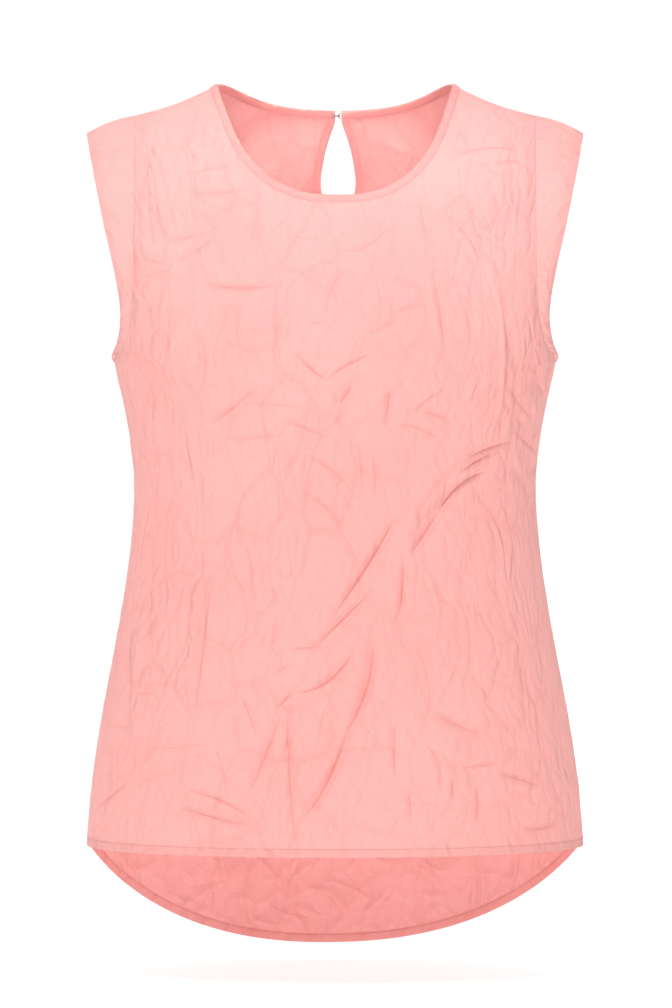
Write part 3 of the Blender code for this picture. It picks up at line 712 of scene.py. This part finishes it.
def grid_piece(name, cells, place, material, keep=None, weld=False, flip=False):
    """A sheet made from a grid: place() takes the grid's two coordinates from 0 to 1 and
    gives the points, the flat points of the weave and named values for each vertex."""
    mesh = bmesh.new()
    bmesh.ops.create_grid(mesh, x_segments=cells[0], y_segments=cells[1], size=1)

    def spots(things):
        return (np.array(things) + 1) / 2

    if keep:
        centres = spots([face.calc_center_median()[:2] for face in mesh.faces])
        cut = [face for face, kept in zip(list(mesh.faces), keep(*centres.T)) if not kept]
        bmesh.ops.delete(mesh, geom=cut, context="FACES")
    if flip:
        bmesh.ops.reverse_faces(mesh, faces=mesh.faces)
    data = bpy.data.meshes.new(name)
    mesh.to_mesh(data)
    mesh.free()
    corners = np.zeros(3 * len(data.vertices))
    data.vertices.foreach_get("co", corners)
    points, flat_points, values = place(*spots(corners.reshape(-1, 3)[:, :2]).T)
    data.vertices.foreach_set("co", points.ravel())
    owners = np.zeros(len(data.loops), int)
    data.loops.foreach_get("vertex_index", owners)
    layer = data.uv_layers.new(name="cloth")
    layer.data.foreach_set("uv", flat_points[owners].ravel())
    for key, numbers in values.items():
        data.attributes.new(key, "FLOAT", "POINT").data.foreach_set("value", numbers)
    if weld:
        mesh = bmesh.new()
        mesh.from_mesh(data)
        bmesh.ops.remove_doubles(mesh, verts=mesh.verts, dist=0.002 * MM)
        mesh.to_mesh(data)
        mesh.free()
    data.update()
    data.shade_smooth()
    data.materials.append(material)
    made = bpy.data.objects.new(name, data)
    bpy.context.scene.collection.objects.link(made)
    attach(made, "root")
    return made


def panel_flat(u, v, side):
    """Flat points of a panel, from its grid: rows run from the shoulders to the hem."""
    reached = along(side_edge)
    edge = [np.interp((1 - v) * reached[-1], reached, column) for column in side_edge.T]
    top, bottom = ridge_down(edge[0]), hem_drop(edge[0], side)
    share = (edge[1] - top) / (bottom - top)
    across = (2 * u - 1) * edge[0]
    top, bottom = ridge_down(across), hem_drop(across, side)
    return np.stack([across, top + (bottom - top) * share], -1)


def panel(name, side, cells, holes, material):
    """A panel laid on its side of the form, with its neck cut away under the binding."""

    def keep(u, v):
        points = panel_flat(u, v, side)
        kept = np.ones(len(points), bool)
        for edge, loop in holes:
            gap = np.abs(nearest(points, edge)[0])
            kept &= ~inside(points, loop) & (gap > UNDER_BINDING)
        return kept

    def place(u, v):
        points = panel_flat(u, v, side)
        lift, offset, height = relief(points, side)
        values = {"crease_offset": offset, "crease_height": height}
        return lay(points, side, lift), points, values

    return grid_piece(name, cells, place, material, keep, flip=side == BACK)


def closed_above(edge):
    """A neck edge closed into a loop well above the shoulders."""
    return np.concatenate([edge, [(edge[-1, 0], -0.2), (edge[0, 0], -0.2)]])


UNDER_BINDING = 2.9 * MM
coral = cloth("coral_front", CORAL, DEEPER_CORAL)
holes = [(neck_front, closed_above(neck_front))]
front = panel("front_cloth", FRONT, (250, 318), holes, coral)
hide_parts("front")

# ----------------------------------------------------------------- Back panel
# The same cloth behind, with a keyhole at the centre of the neck and a longer rounded tail.
# Its creases aren't shown, apart from those on the tail, and are like those of the front.
NECK_BACK = (
    # across, drop
    (0, 14.3),
    (20, 13.7),
    (35, 12.5),
    (48, 10.6),
    (60, 7.7),
    (72, 3.7),
    (80, 0.8),
    (86, -0.9),
    (91, -1.1),
    (94, 0.0),
)
KEYHOLE = (
    # half width, drop
    (2.35, 14.3),
    (2.9, 23.0),
    (5.9, 32.0),
    (10.2, 45.5),
    (13.4, 62.0),
    (14.3, 71.0),
    (13.2, 81.0),
    (9.8, 89.5),
    (5.2, 94.8),
    (0.0, 96.5),
)
BACK_FOLDS = (
    # x1, drop1, x2, drop2, bow, half width, lift
    (-118, 96, -70, 150, 6, 13, -2.4),
    (112, 92, 66, 132, -5, 12, -2.2),
    (-46, 132, 38, 152, 8, 12, -2.2),
    (140, 150, 128, 232, 4, 13, 2.4),
    (-142, 168, -128, 236, -4, 13, -2.4),
    (-60, 196, 6, 236, 9, 13, -2.7),
    (80, 214, 20, 262, 6, 12, -2.5),
    (-118, 268, -52, 302, 5, 13, -2.8),
    (120, 280, 58, 312, 5, 13, -3.0),
    (48, 320, -14, 410, 7, 15, -3.4),
    (32, 330, -26, 404, 7, 11, 2.2),
    (-70, 330, -88, 412, 4, 14, -2.7),
    (104, 352, 112, 440, 4, 14, 2.7),
    (-20, 430, -66, 520, 6, 15, -3.3),
    (26, 440, 8, 540, -5, 14, -3.0),
    (-132, 430, -138, 530, 3, 15, 2.7),
    (86, 474, 124, 496, 4, 12, -2.4),
    (70, 520, 44, 600, 4, 14, -3.0),
    (-96, 548, -54, 600, 5, 13, -2.7),
    (4, 572, -20, 640, 5, 13, -2.7),
    (132, 520, 140, 586, -3, 13, -2.4),
    (-40, 610, 46, 634, 6, 12, -2.4),
)
BACK_CREASES = (
    # x1, drop1, x2, drop2, x3, drop3, half width, lift
    (-92, 60, -80, 84, -74, 110, 3.4, -0.9),
    (-138, 70, -120, 88, -96, 96, 3.4, -1.1),
    (-60, 104, -44, 112, -26, 110, 2.8, -0.8),
    (44, 98, 60, 112, 84, 116, 3.4, -1.1),
    (104, 62, 112, 90, 108, 118, 3.4, -0.9),
    (138, 96, 122, 104, 100, 104, 2.8, -0.9),
    (-118, 96, -98, 128, -70, 150, 4, -1.6),
    (-36, 130, -4, 146, 38, 152, 4, -1.5),
    (66, 132, 90, 118, 112, 92, 3.4, -1.4),
    (-148, 130, -140, 164, -144, 196, 3.4, 0.9),
    (12, 164, 24, 184, 20, 206, 3.4, -0.9),
    (-58, 160, -66, 180, -62, 204, 3.4, 0.8),
    (72, 150, 84, 170, 82, 196, 3.4, -0.9),
    (-60, 196, -30, 222, 6, 236, 4, -1.8),
    (80, 214, 52, 244, 20, 262, 4, -1.6),
    (-112, 200, -92, 212, -70, 212, 3.4, -1.1),
    (112, 232, 124, 250, 126, 272, 3.4, -1.1),
    (-22, 246, -8, 262, 4, 284, 3.4, -1.2),
    (-140, 250, -120, 258, -98, 256, 3.4, -1.2),
    (-118, 268, -84, 290, -52, 302, 4, -1.8),
    (-132, 284, -104, 300, -80, 322, 3.4, -1.4),
    (120, 280, 92, 300, 58, 312, 4, -1.9),
    (142, 296, 116, 314, 88, 322, 3.4, -1.5),
    (-40, 310, -22, 320, 2, 318, 3.4, -1.1),
    (48, 320, 20, 362, -14, 410, 4, -2.0),
    (34, 332, 4, 372, -24, 402, 3.4, 1.1),
    (-70, 330, -84, 370, -88, 412, 3.4, -1.4),
    (84, 346, 90, 380, 84, 420, 3.4, -1.1),
    (104, 352, 112, 396, 112, 440, 4, 1.4),
    (-128, 360, -122, 390, -128, 422, 3.4, -0.9),
    (140, 366, 148, 392, 146, 420, 3.4, -1.1),
    (-44, 400, -30, 420, -28, 446, 3.4, -1.1),
    (46, 402, 56, 430, 54, 462, 3.4, -1.2),
    (-20, 430, -48, 470, -66, 520, 4, -1.8),
    (26, 440, 22, 490, 8, 540, 4, -1.6),
    (-132, 430, -140, 480, -138, 530, 4, 1.4),
    (-104, 440, -94, 470, -98, 506, 3.4, -1.1),
    (86, 474, 104, 492, 124, 496, 3.4, -1.5),
    (140, 450, 148, 478, 144, 510, 3.4, -1.1),
    (-30, 520, -22, 552, -28, 586, 3.4, -1.1),
    (70, 520, 62, 560, 44, 600, 4, -1.5),
    (96, 540, 110, 560, 112, 590, 3.4, -1.2),
    (-96, 548, -78, 572, -54, 600, 4, -1.5),
    (-150, 556, -136, 566, -122, 588, 3.4, -1.2),
    (4, 572, -2, 606, -20, 640, 4, -1.5),
    (132, 520, 134, 552, 140, 586, 3.4, -1.2),
    (-40, 610, 2, 618, 46, 634, 4, -1.4),
    (-78, 622, -58, 634, -40, 656, 3.4, -1.1),
    (60, 618, 74, 632, 92, 640, 3.4, -1.2),
    (-8, 648, 14, 654, 34, 668, 3.4, -1.1),
    (-118, 604, -108, 622, -94, 632, 3.4, -1.1),
    (104, 600, 118, 604, 132, 616, 3.4, -1.1),
    (20, 676, 32, 668, 44, 652, 2.8, -0.9),
    (-56, 668, -40, 676, -22, 680, 2.8, -0.9),
    (-30, 288, -50, 296, -68, 318, 2.8, 0.8),
    (38, 276, 60, 276, 78, 262, 3.4, -1.1),
    (-92, 160, -110, 176, -118, 196, 2.8, -0.9),
    (116, 150, 104, 170, 96, 200, 3.4, -0.9),
)
neck_back = shifted(mirrored(edge_path(NECK_BACK[::-1])))
keyhole = shifted(mirrored(edge_path(KEYHOLE)))
add_creases(BACK, BACK_FOLDS, BACK_CREASES, [(23, 980, -235, 30, 235, 700, 0.4)])
necks[BACK] = [neck_back, keyhole]
holes = [(neck_back, closed_above(neck_back)), (keyhole, keyhole)]
coral_back = cloth("coral_back", CORAL, DEEPER_CORAL, start=0.83)
back = panel("back_cloth", BACK, (236, 330), holes, coral_back)
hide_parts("back")

# ---------------------------------------------------------------- Cap sleeves
# A short band of the same cloth round each armhole, wide over the shoulder and narrow under
# the arm. It is set in with a plain seam, and its open edge is turned inside.
SLEEVE_EDGE = (
    # across, forward, drop
    (198.3, -2, 39.0),
    (195.2, 19, 54.0),
    (189.8, 36, 79.0),
    (182.4, 46, 114.0),
    (174.8, 52, 147.0),
    (169.4, 53, 178.0),
    (169.8, 46, 197.0),
    (173.4, 27, 210.5),
    (176.6, 0, 215.5),
    (174.6, -28, 210.5),
    (171.6, -49, 197.0),
    (171.6, -57, 178.0),
    (177.2, -57, 147.0),
    (184.4, -51, 114.0),
    (191.2, -41, 79.0),
    (195.8, -23, 54.0),
)
SLEEVE_CROWN = 2.2 * MM
SLEEVE_GAP = 0.15 * MM
SLEEVE_ROUND = 0.46
SLEEVE_WIDTH = 0.041
edge_rows = np.array(SLEEVE_EDGE) * (MM, -MM, -MM)
edge_rows = np.concatenate([edge_rows[-3:], edge_rows, edge_rows[:4]])
edge_curves = [spline(range(len(edge_rows)), column) for column in edge_rows.T]
seam_turns = 2 * (len(ARMHOLE) - 1)
seam_rows = np.linspace(0, 1, len(armhole))
seam_curves = [spline(seam_rows, column) for column in armhole.T]


def sleeve_seam(turn):
    """Points of the armhole seam and the form's normals there."""
    turn = turn % 1
    flat_seam = np.stack([curve(1 - abs(1 - 2 * turn)) for curve in seam_curves], -1)
    behind = (turn > 0.5)[:, None]
    seam = np.where(behind, body(flat_seam, BACK), body(flat_seam, FRONT))
    normal = np.where(behind, outward(flat_seam, BACK), outward(flat_seam, FRONT))
    return seam, normal


def sleeve_points(u, v, lift):
    """Points of the wearer's left sleeve: u runs round from the shoulder over the front,
    and v from the seam to the open edge."""
    turn = u % 1
    seam, normal = sleeve_seam(turn)
    edge = np.stack([curve(3 + turn * seam_turns) for curve in edge_curves], -1)
    reach = edge - seam
    length = np.linalg.norm(reach, axis=1, keepdims=True)
    run = sleeve_seam(turn + 0.004)[0] - sleeve_seam(turn - 0.004)[0]
    band = unit(np.cross(run, reach))
    band *= np.sign((band * normal).sum(axis=1, keepdims=True))
    share = (SLEEVE_GAP / length) * (1 - v[:, None]) + v[:, None]
    crown = SLEEVE_CROWN * 4 * share * (1 - share)
    return seam + reach * share + band * (crown + np.reshape(lift, (-1, 1)))


def sleeve_lift(u, v, seed):
    """Creases of a sleeve, which fade at its seam and lie shallow at its edge."""
    turn = u % 1
    points = np.stack([turn * SLEEVE_ROUND, v * SLEEVE_WIDTH], -1)
    corners = (0.0, 0.004), (SLEEVE_ROUND, SLEEVE_WIDTH)
    lift, offset, height = creased(points, [], crinkle_lines(seed, 70, *corners, 0.55))
    fade = np.clip(v * 6, 0, 1) * np.clip(turn * 30, 0, 1) * np.clip((1 - turn) * 30, 0, 1)
    fade *= np.interp(turn, [0, 0.35, 0.5, 0.65, 1], [1, 0.6, 0.25, 0.6, 1])
    woven = np.stack([u * SLEEVE_ROUND, v * SLEEVE_WIDTH], -1)
    return lift * fade, offset, height * fade, woven


def cap_sleeve(name, mirror, seed):
    def place(u, v):
        lift, offset, height, points = sleeve_lift(u, v, seed)
        values = {"crease_offset": offset, "crease_height": height}
        return sleeve_points(u, v, lift) * (mirror, 1, 1), points, values

    return grid_piece(name, (190, 16), place, coral, weld=True, flip=mirror > 0)


for name, mirror, seed in (("left", 1, 31), ("right", -1, 47)):
    sleeve = cap_sleeve("cap_sleeve_cloth_" + name, mirror, seed)
    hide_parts("cap_sleeve_" + name)

# --------------------------------------------------------------- Neck binding
# A narrow bias strip of the cloth folded over the raw edge of the neck, from one side of the
# nape round to the other, and stitched along its lower edge. It puckers a little.
BINDING_WIDTH = 6.8 * MM
NECK_STEP = 2.0 * MM
NAPE_GAP = 2.35
STRIP = (
    # distance from the fold, lift, in millimetres
    (6.6, 0.05),
    (6.75, 0.35),
    (6.4, 0.55),
    (5.6, 0.42),
    (4.6, 0.72),
    (2.8, 0.85),
    (1.2, 0.8),
    (0.4, 0.5),
    (0.0, -0.1),
    (0.0, -0.7),
    (0.4, -1.25),
    (1.2, -1.5),
    (2.8, -1.6),
    (4.6, -1.5),
    (5.6, -1.25),
    (6.4, -1.35),
    (6.75, -1.1),
    (6.6, -0.7),
)


def inset(path, side, distance, turn=1):
    """A flat path moved sideways over the form, to its right for turn = 1."""
    ahead = np.gradient(path, axis=0)
    right, down = slopes_of(path, side)
    tangent = unit(ahead[:, :1] * right + ahead[:, 1:] * down)
    way = np.cross(tangent, outward(path, side)) * turn
    moved = []
    for axes, move in zip(np.stack([right, down], -1), way):
        moved.append(np.linalg.lstsq(axes, move, rcond=None)[0])
    return path + np.array(moved) * np.reshape(distance, (-1, 1))


def strip_rows(path, side, turn, profile, ripple, relieved=False):
    """Rows of a strip along a path: one for each point of the profile across it."""
    rows = []
    station = along(body(path, side))
    for distance, lift in np.array(profile) * MM:
        wave = np.sin(station / (2.3 * MM) + 2 * np.sin(station / (13 * MM)))
        swell = np.sin(station / (23 * MM) + 1.7) * 0.5 + 0.5
        depth_in = np.clip(distance / (2 * MM), 0, 1)
        push = ripple * wave * swell * depth_in * np.sign(lift + 0.4 * MM)
        moved = inset(path, side, distance, turn)
        extra = relief(moved, side)[0] if relieved else 0
        rows.append(lay(moved, side, lift + push + extra))
    return np.array(rows), station


def strip_piece(name, rows, station, material, closed=True):
    """A strip from its rows, its profile closed into a thin folded band."""
    if closed:
        rows = np.concatenate([rows, rows[:1]])
    across = len(rows) - 1

    def place(u, v):
        i = np.rint(u * (rows.shape[1] - 1)).astype(int)
        j = np.rint(v * across).astype(int)
        flat_points = np.stack([station[i], j * 0.9 * MM], -1)
        return rows[j, i], flat_points @ BIAS, {}

    cells = (rows.shape[1] - 1, across)
    return grid_piece(name, cells, place, material, weld=closed)


BIAS = np.array([(0.707, -0.707), (0.707, 0.707)])
tip = flat(NAPE_GAP * MM, -NECK_BACK[0][1] * MM)
half = edge_path(NECK_BACK[::-1])
half = np.concatenate([half[half[:, 0] > tip[0]], [tip]])
left_nape = evenly(half, BACK, NECK_STEP)
right_nape = shifted(left_nape[::-1] * (-1, 1))
left_nape = shifted(left_nape)
neck_round = evenly(neck_front, FRONT, NECK_STEP)
bound = cloth("coral_binding", (0.955, 0.455, 0.425, 1), (0.94, 0.40, 0.375, 1), 0.5, False)
ripple = 0.11 * MM
parts = [
    strip_rows(left_nape, BACK, 1, STRIP, ripple),
    strip_rows(neck_round, FRONT, -1, STRIP, ripple),
    strip_rows(right_nape, BACK, 1, STRIP, ripple),
]
left, round_front, right = [made for made, station in parts]
rows = np.concatenate([left[:, ::-1], round_front[:, 1:-1], right[:, ::-1]], axis=1)
neck_strip = strip_piece("neck_binding_cloth", rows, along(rows[5]), bound)
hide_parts("neck_binding")

# ------------------------------------------------------------ Keyhole binding
# The same folded strip round the teardrop keyhole, its ends tucked under the neck binding.
tucked = keyhole[keyhole[:, 1] > keyhole[0, 1] + BINDING_WIDTH - 1.5 * MM]
tucked = evenly(tucked, BACK, 1.8 * MM)
rows, station = strip_rows(tucked, BACK, 1, STRIP, 0.6 * ripple)
hole_strip = strip_piece("keyhole_binding_cloth", rows, station, bound)
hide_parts("keyhole_binding")

# ----------------------------------------------------------------------- Hems
# The lower edge of each panel is turned up inside and stitched, and puckers between the
# stitches. Its fold is rounded, and the turned edge shows inside the back.
HEM = (
    # distance up from the fold, lift, in millimetres
    (0.5, 0.04),
    (-0.12, -0.02),
    (-0.2, -0.12),
    (-0.05, -0.22),
    (0.6, -0.26),
    (3.6, -0.26),
    (5.6, -0.2),
    (7.2, -0.03),
)
hem_paths = {}
for side, name in ((FRONT, "front"), (BACK, "back")):
    reach = np.linspace(HALF_ROUND, -HALF_ROUND, 400)
    path = evenly(np.stack([reach, hem_drop(reach, side)], -1), side, 2.4 * MM)
    hem_paths[side] = path
    rows, station = strip_rows(path, side, -side, HEM, 0.12 * MM, True)
    hem = strip_piece(name + "_hem", rows, station, coral_back, False)

# The open edge of each cap sleeve is turned inside as a flat narrow hem.
SLEEVE_HEM = (
    # distance from the open edge, lift, in millimetres
    (0.3, 0.06),
    (-0.3, -0.05),
    (-0.3, -0.5),
    (0.4, -0.75),
    (5.4, -0.7),
    (5.8, -0.5),
    (5.4, -0.25),
    (0.4, -0.3),
)
for name, mirror, seed in (("left", 1, 31), ("right", -1, 47)):
    turns = np.linspace(0, 1, 181)
    ends = [sleeve_points(turns, turns * 0 + end, turns * 0) for end in (0, 1)]
    length = np.linalg.norm(ends[1] - ends[0], axis=1)
    rows = []
    for distance, lift in np.array(SLEEVE_HEM) * MM:
        v = 1 - distance / length
        extra = sleeve_lift(turns, np.clip(v, 0, 1), seed)[0]
        rows.append(sleeve_points(turns, v, lift + extra) * (mirror, 1, 1))
    strip = strip_piece("sleeve_hem_" + name, np.array(rows), along(rows[0]), coral)

# ------------------------------------------------------------ Seam allowances
# Inside, the cloth beyond each side, shoulder and armhole seam lies flat against the back
# or the body as a narrow double strip.
ALLOWANCE = (
    # distance from the seam, lift, in millimetres
    (-0.3, -0.3),
    (0.0, -0.55),
    (4.0, -0.62),
    (8.2, -0.6),
    (8.8, -0.48),
    (8.2, -0.36),
    (4.0, -0.3),
)
side_line = np.linspace(armhole[-1], (HALF_ROUND, FRONT_LENGTH - 9 * MM), 80)
shoulder_line = np.linspace(neck_front[0], armhole[0], 40)
shoulder_line[:, 1] = ridge_down(shoulder_line[:, 0])
shoulder_line = shoulder_line[4:]
SEAMS = (
    # name, path, side, turn
    ("side", side_line, BACK, -1),
    ("shoulder", shoulder_line, BACK, -1),
    ("armhole_front", armhole, FRONT, 1),
    ("armhole_back", armhole, BACK, -1),
)
for name, path, side, turn in SEAMS:
    path = evenly(path, side, 3 * MM)
    for hand, mirror in (("left", 1), ("right", -1)):
        rows, station = strip_rows(path, side, turn, ALLOWANCE, 0.1 * MM)
        rows = rows * (mirror, 1, 1)
        strip = strip_piece(f"{name}_allowance_{hand}", rows, station, coral_back)

# ------------------------------------------------------------------- Stitches
# Rows of coral thread: along both sides of the bindings and the hems. Each stitch lies on
# the cloth and dips into it at its ends.
STITCH = 2.4 * MM
THREAD = 0.23 * MM
BINDING_STITCHES = 5.6 * MM
HEM_STITCHES = 6.2 * MM


def plain(name, colour, roughness, metallic=0.0):
    """A material of one colour."""
    made = bpy.data.materials.new(name)
    made.use_nodes = True
    shader = made.node_tree.nodes["Principled BSDF"]
    shader.inputs["Base Color"].default_value = (*colour, 1)
    shader.inputs["Roughness"].default_value = roughness
    shader.inputs["Metallic"].default_value = metallic
    return made


def cord(name, lines, thickness, material, smooth=3):
    """Round threads or wires along lines of points."""
    curve = bpy.data.curves.new(name, "CURVE")
    curve.dimensions = "3D"
    curve.bevel_depth = thickness / 2
    curve.bevel_resolution = smooth
    curve.use_fill_caps = True
    for points in lines:
        line = curve.splines.new("POLY")
        line.points.add(len(points) - 1)
        for target, point in zip(line.points, points):
            target.co = (*point, 1)
    curve.materials.append(material)
    made = bpy.data.objects.new(name, curve)
    bpy.context.scene.collection.objects.link(made)
    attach(made, "root")
    return made


def stitched(path, side, turn, distance, lift, relieved=False):
    """The thread of one row: up over each stitch and down between two."""
    reached = along(body(path, side))
    count = int(reached[-1] / STITCH)
    starts = np.arange(count)[:, None] * STITCH
    stations = (starts + np.array([0.02, 0.22, 0.78, 0.98]) * STITCH).ravel()
    rise = np.tile([-0.22, 0.1, 0.1, -0.22], count) * MM
    spots = np.stack([np.interp(stations, reached, column) for column in path.T], -1)
    spots = inset(spots, side, distance, turn)
    extra = relief(spots, side)[0] if relieved else 0
    return lay(spots, side, lift * MM + rise * np.sign(lift + 0.3) + extra)


thread_paint = plain("thread_paint", (0.76, 0.23, 0.22), 0.6)
lines = []
for path, side, turn in (
    (left_nape, BACK, 1),
    (neck_round, FRONT, -1),
    (right_nape, BACK, 1),
    (tucked, BACK, 1),
):
    for lift in (0.44, -1.27):
        lines.append(stitched(path, side, turn, BINDING_STITCHES, lift))
cord("binding_stitches", lines, THREAD, thread_paint, 1)
lines = []
for side, path in hem_paths.items():
    for lift in (0.02, -0.4):
        lines.append(stitched(path, side, -side, HEM_STITCHES, lift, True))
cord("hem_stitches", lines, THREAD, thread_paint, 1)

# --------------------------------------------------------------- Hook and eye
# A small hook of mauve-grey coated wire, sewn inside the nape on one side, and a loop of
# coral thread, closely oversewn, on the other. They stay fastened.
HOOK_WIRE = 0.55 * MM
LOOP_THREAD = 0.32 * MM
hook_paint = plain("hook_paint", (0.36, 0.24, 0.27), 0.35, 0.6)
middle = (NECK_BACK[0][1] + 0.6 * BINDING_WIDTH / MM) * MM
centre = lay(shifted(flat([0.0], -middle)), BACK, -0.55 * MM)[0]


def round_path(x, y, z, radius, start, end, count=14):
    """Points of an arc in the plane of the cloth, its angles in degrees."""
    turns = np.radians(np.linspace(start, end, count))
    points = np.stack([x + radius * np.cos(turns), turns * 0 + y], -1)
    return np.column_stack([points, z + radius * np.sin(turns)])


wire = np.concatenate(
    [
        round_path(-4.1, -1.5, 1.3, 0.8, -40, -330),
        [(-2.6, -1.5, 0.45), (-0.4, -1.4, 0.42), (0.7, -1.1, 0.4), (1.15, -0.4, 0.35)],
        [(1.1, 0.35, 0.3), (0.6, 0.95, 0.2), (-0.4, 1.2, 0.0), (0.6, 0.95, -0.2)],
        [(1.1, 0.35, -0.3), (1.15, -0.4, -0.35), (0.7, -1.1, -0.4), (-0.4, -1.4, -0.42)],
        [(-2.6, -1.5, -0.45)],
        round_path(-4.1, -1.5, -1.3, 0.8, 330, 40),
    ]
)
hook = cord("hook_wire", [centre + wire * MM], HOOK_WIRE, hook_paint, 4)
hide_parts("hook")
loop = round_path(2.1, -0.5, 0.0, 2.0, 100, 260, 40)
loop[:, 0] = 2.1 + (loop[:, 0] - 2.1) * 0.95
winds = np.linspace(0, 34 * math.pi, 400)
core = np.stack(
    [np.interp(np.linspace(0, 39, 400), range(40), column) for column in loop.T], -1
)
spread = core - (2.1, -0.5, 0.0)
spread = spread / np.linalg.norm(spread, axis=1, keepdims=True)
wound = core + 0.3 * np.cos(winds)[:, None] * spread
wound[:, 1] += 0.3 * np.sin(winds)
lines = [centre + core * MM, centre + wound * MM]
eye = cord("thread_loop", lines, LOOP_THREAD, thread_paint, 2)
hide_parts("thread_eye")

# ----------------------------------------------------------------- The room
# A plain pale floor below the hem, which glows a little less round the blouse, soft light
# from in front and above, and the photo's camera.
FLOOR_HEIGHT = -0.712
floor_mesh = bmesh.new()
bmesh.ops.create_grid(floor_mesh, x_segments=1, y_segments=1, size=40)
bmesh.ops.translate(floor_mesh, verts=floor_mesh.verts, vec=(0, 0, FLOOR_HEIGHT))
floor_data = bpy.data.meshes.new("floor")
floor_mesh.to_mesh(floor_data)
floor_mesh.free()
floor = bpy.data.objects.new("floor", floor_data)
bpy.context.scene.collection.objects.link(floor)
floor_paint = plain("pale_floor", (0.9, 0.9, 0.9), 0.9)
tree = floor_paint.node_tree
shader = tree.nodes["Principled BSDF"]
shader.inputs["Emission Strength"].default_value = 0.74
spot = scaled(tree, node(tree, "ShaderNodeTexCoord", {}, {}, "Object"), (1.0, 1.0, 0.0))
apart = node(tree, "ShaderNodeVectorMath", {"operation": "LENGTH"}, {0: spot}, "Value")
far = (apart * 0.6 - 0.3).clamped(0.0, 1.0)
glow = mixed(tree, far, (0.88, 0.88, 0.88, 1), (1, 1, 1, 1))
tree.links.new(glow.link, shader.inputs["Emission Color"])
floor_data.materials.append(floor_paint)

LIGHTS = (
    # name, x, y, z, aim x, aim y, aim z, size, spread in degrees, watts
    ("key", -0.35, -1.8, 2.1, 0.0, 0.0, -0.3, 0.6, 180, 46),
    ("collar", 0.15, -2.4, 0.45, 0.0, 0.05, 0.05, 0.4, 12, 0.23),
    ("overhead", 0.0, 0.3, 2.2, 0.0, 0.1, -0.7, 2.2, 180, 14),
)
for name, x, y, z, aim_x, aim_y, aim_z, size, spread, watts in LIGHTS:
    lamp = bpy.data.lights.new(name, "AREA")
    lamp.size = size
    lamp.spread = math.radians(spread)
    lamp.energy = watts
    holder = bpy.data.objects.new(name, lamp)
    holder.location = (x, y, z)
    aim = Vector((aim_x - x, aim_y - y, aim_z - z))
    holder.rotation_euler = aim.to_track_quat("-Z", "Y").to_euler()
    bpy.context.scene.collection.objects.link(holder)

# The studio is white. Its light is strongest behind the blouse and weakest at its sides.
world = bpy.data.worlds.new("studio")
world.use_nodes = True
sky = world.node_tree
way = node(sky, "ShaderNodeTexCoord", {}, {}, "Generated")
way_y = node(sky, "ShaderNodeSeparateXYZ", {}, {0: way}, 1)
ahead = way_y.math("MAXIMUM", 0.0)
towards = (way_y * -1.0).math("MAXIMUM", 0.0)
strength = 0.26 + ahead * ahead * 0.79 + towards * towards * 0.26
backdrop = node(sky, "ShaderNodeLightPath", {}, {}, "Is Camera Ray")
strength = strength.math("MAXIMUM", backdrop)
sky.links.new(strength.link, sky.nodes["Background"].inputs["Strength"])
sky.nodes["Background"].inputs["Color"].default_value = (1, 1, 1, 1)
bpy.context.scene.world = world
bpy.context.scene.view_settings.view_transform = "Standard"

camera_data = bpy.data.cameras.new("camera")
camera_data.sensor_width = 36
camera_data.lens = 142.9
camera = bpy.data.objects.new("camera", camera_data)
camera.location = (0.0008, -3.2, -0.3356)
camera.rotation_euler = Euler((QUARTER, 0, 0))
bpy.context.scene.collection.objects.link(camera)
bpy.context.scene.camera = camera
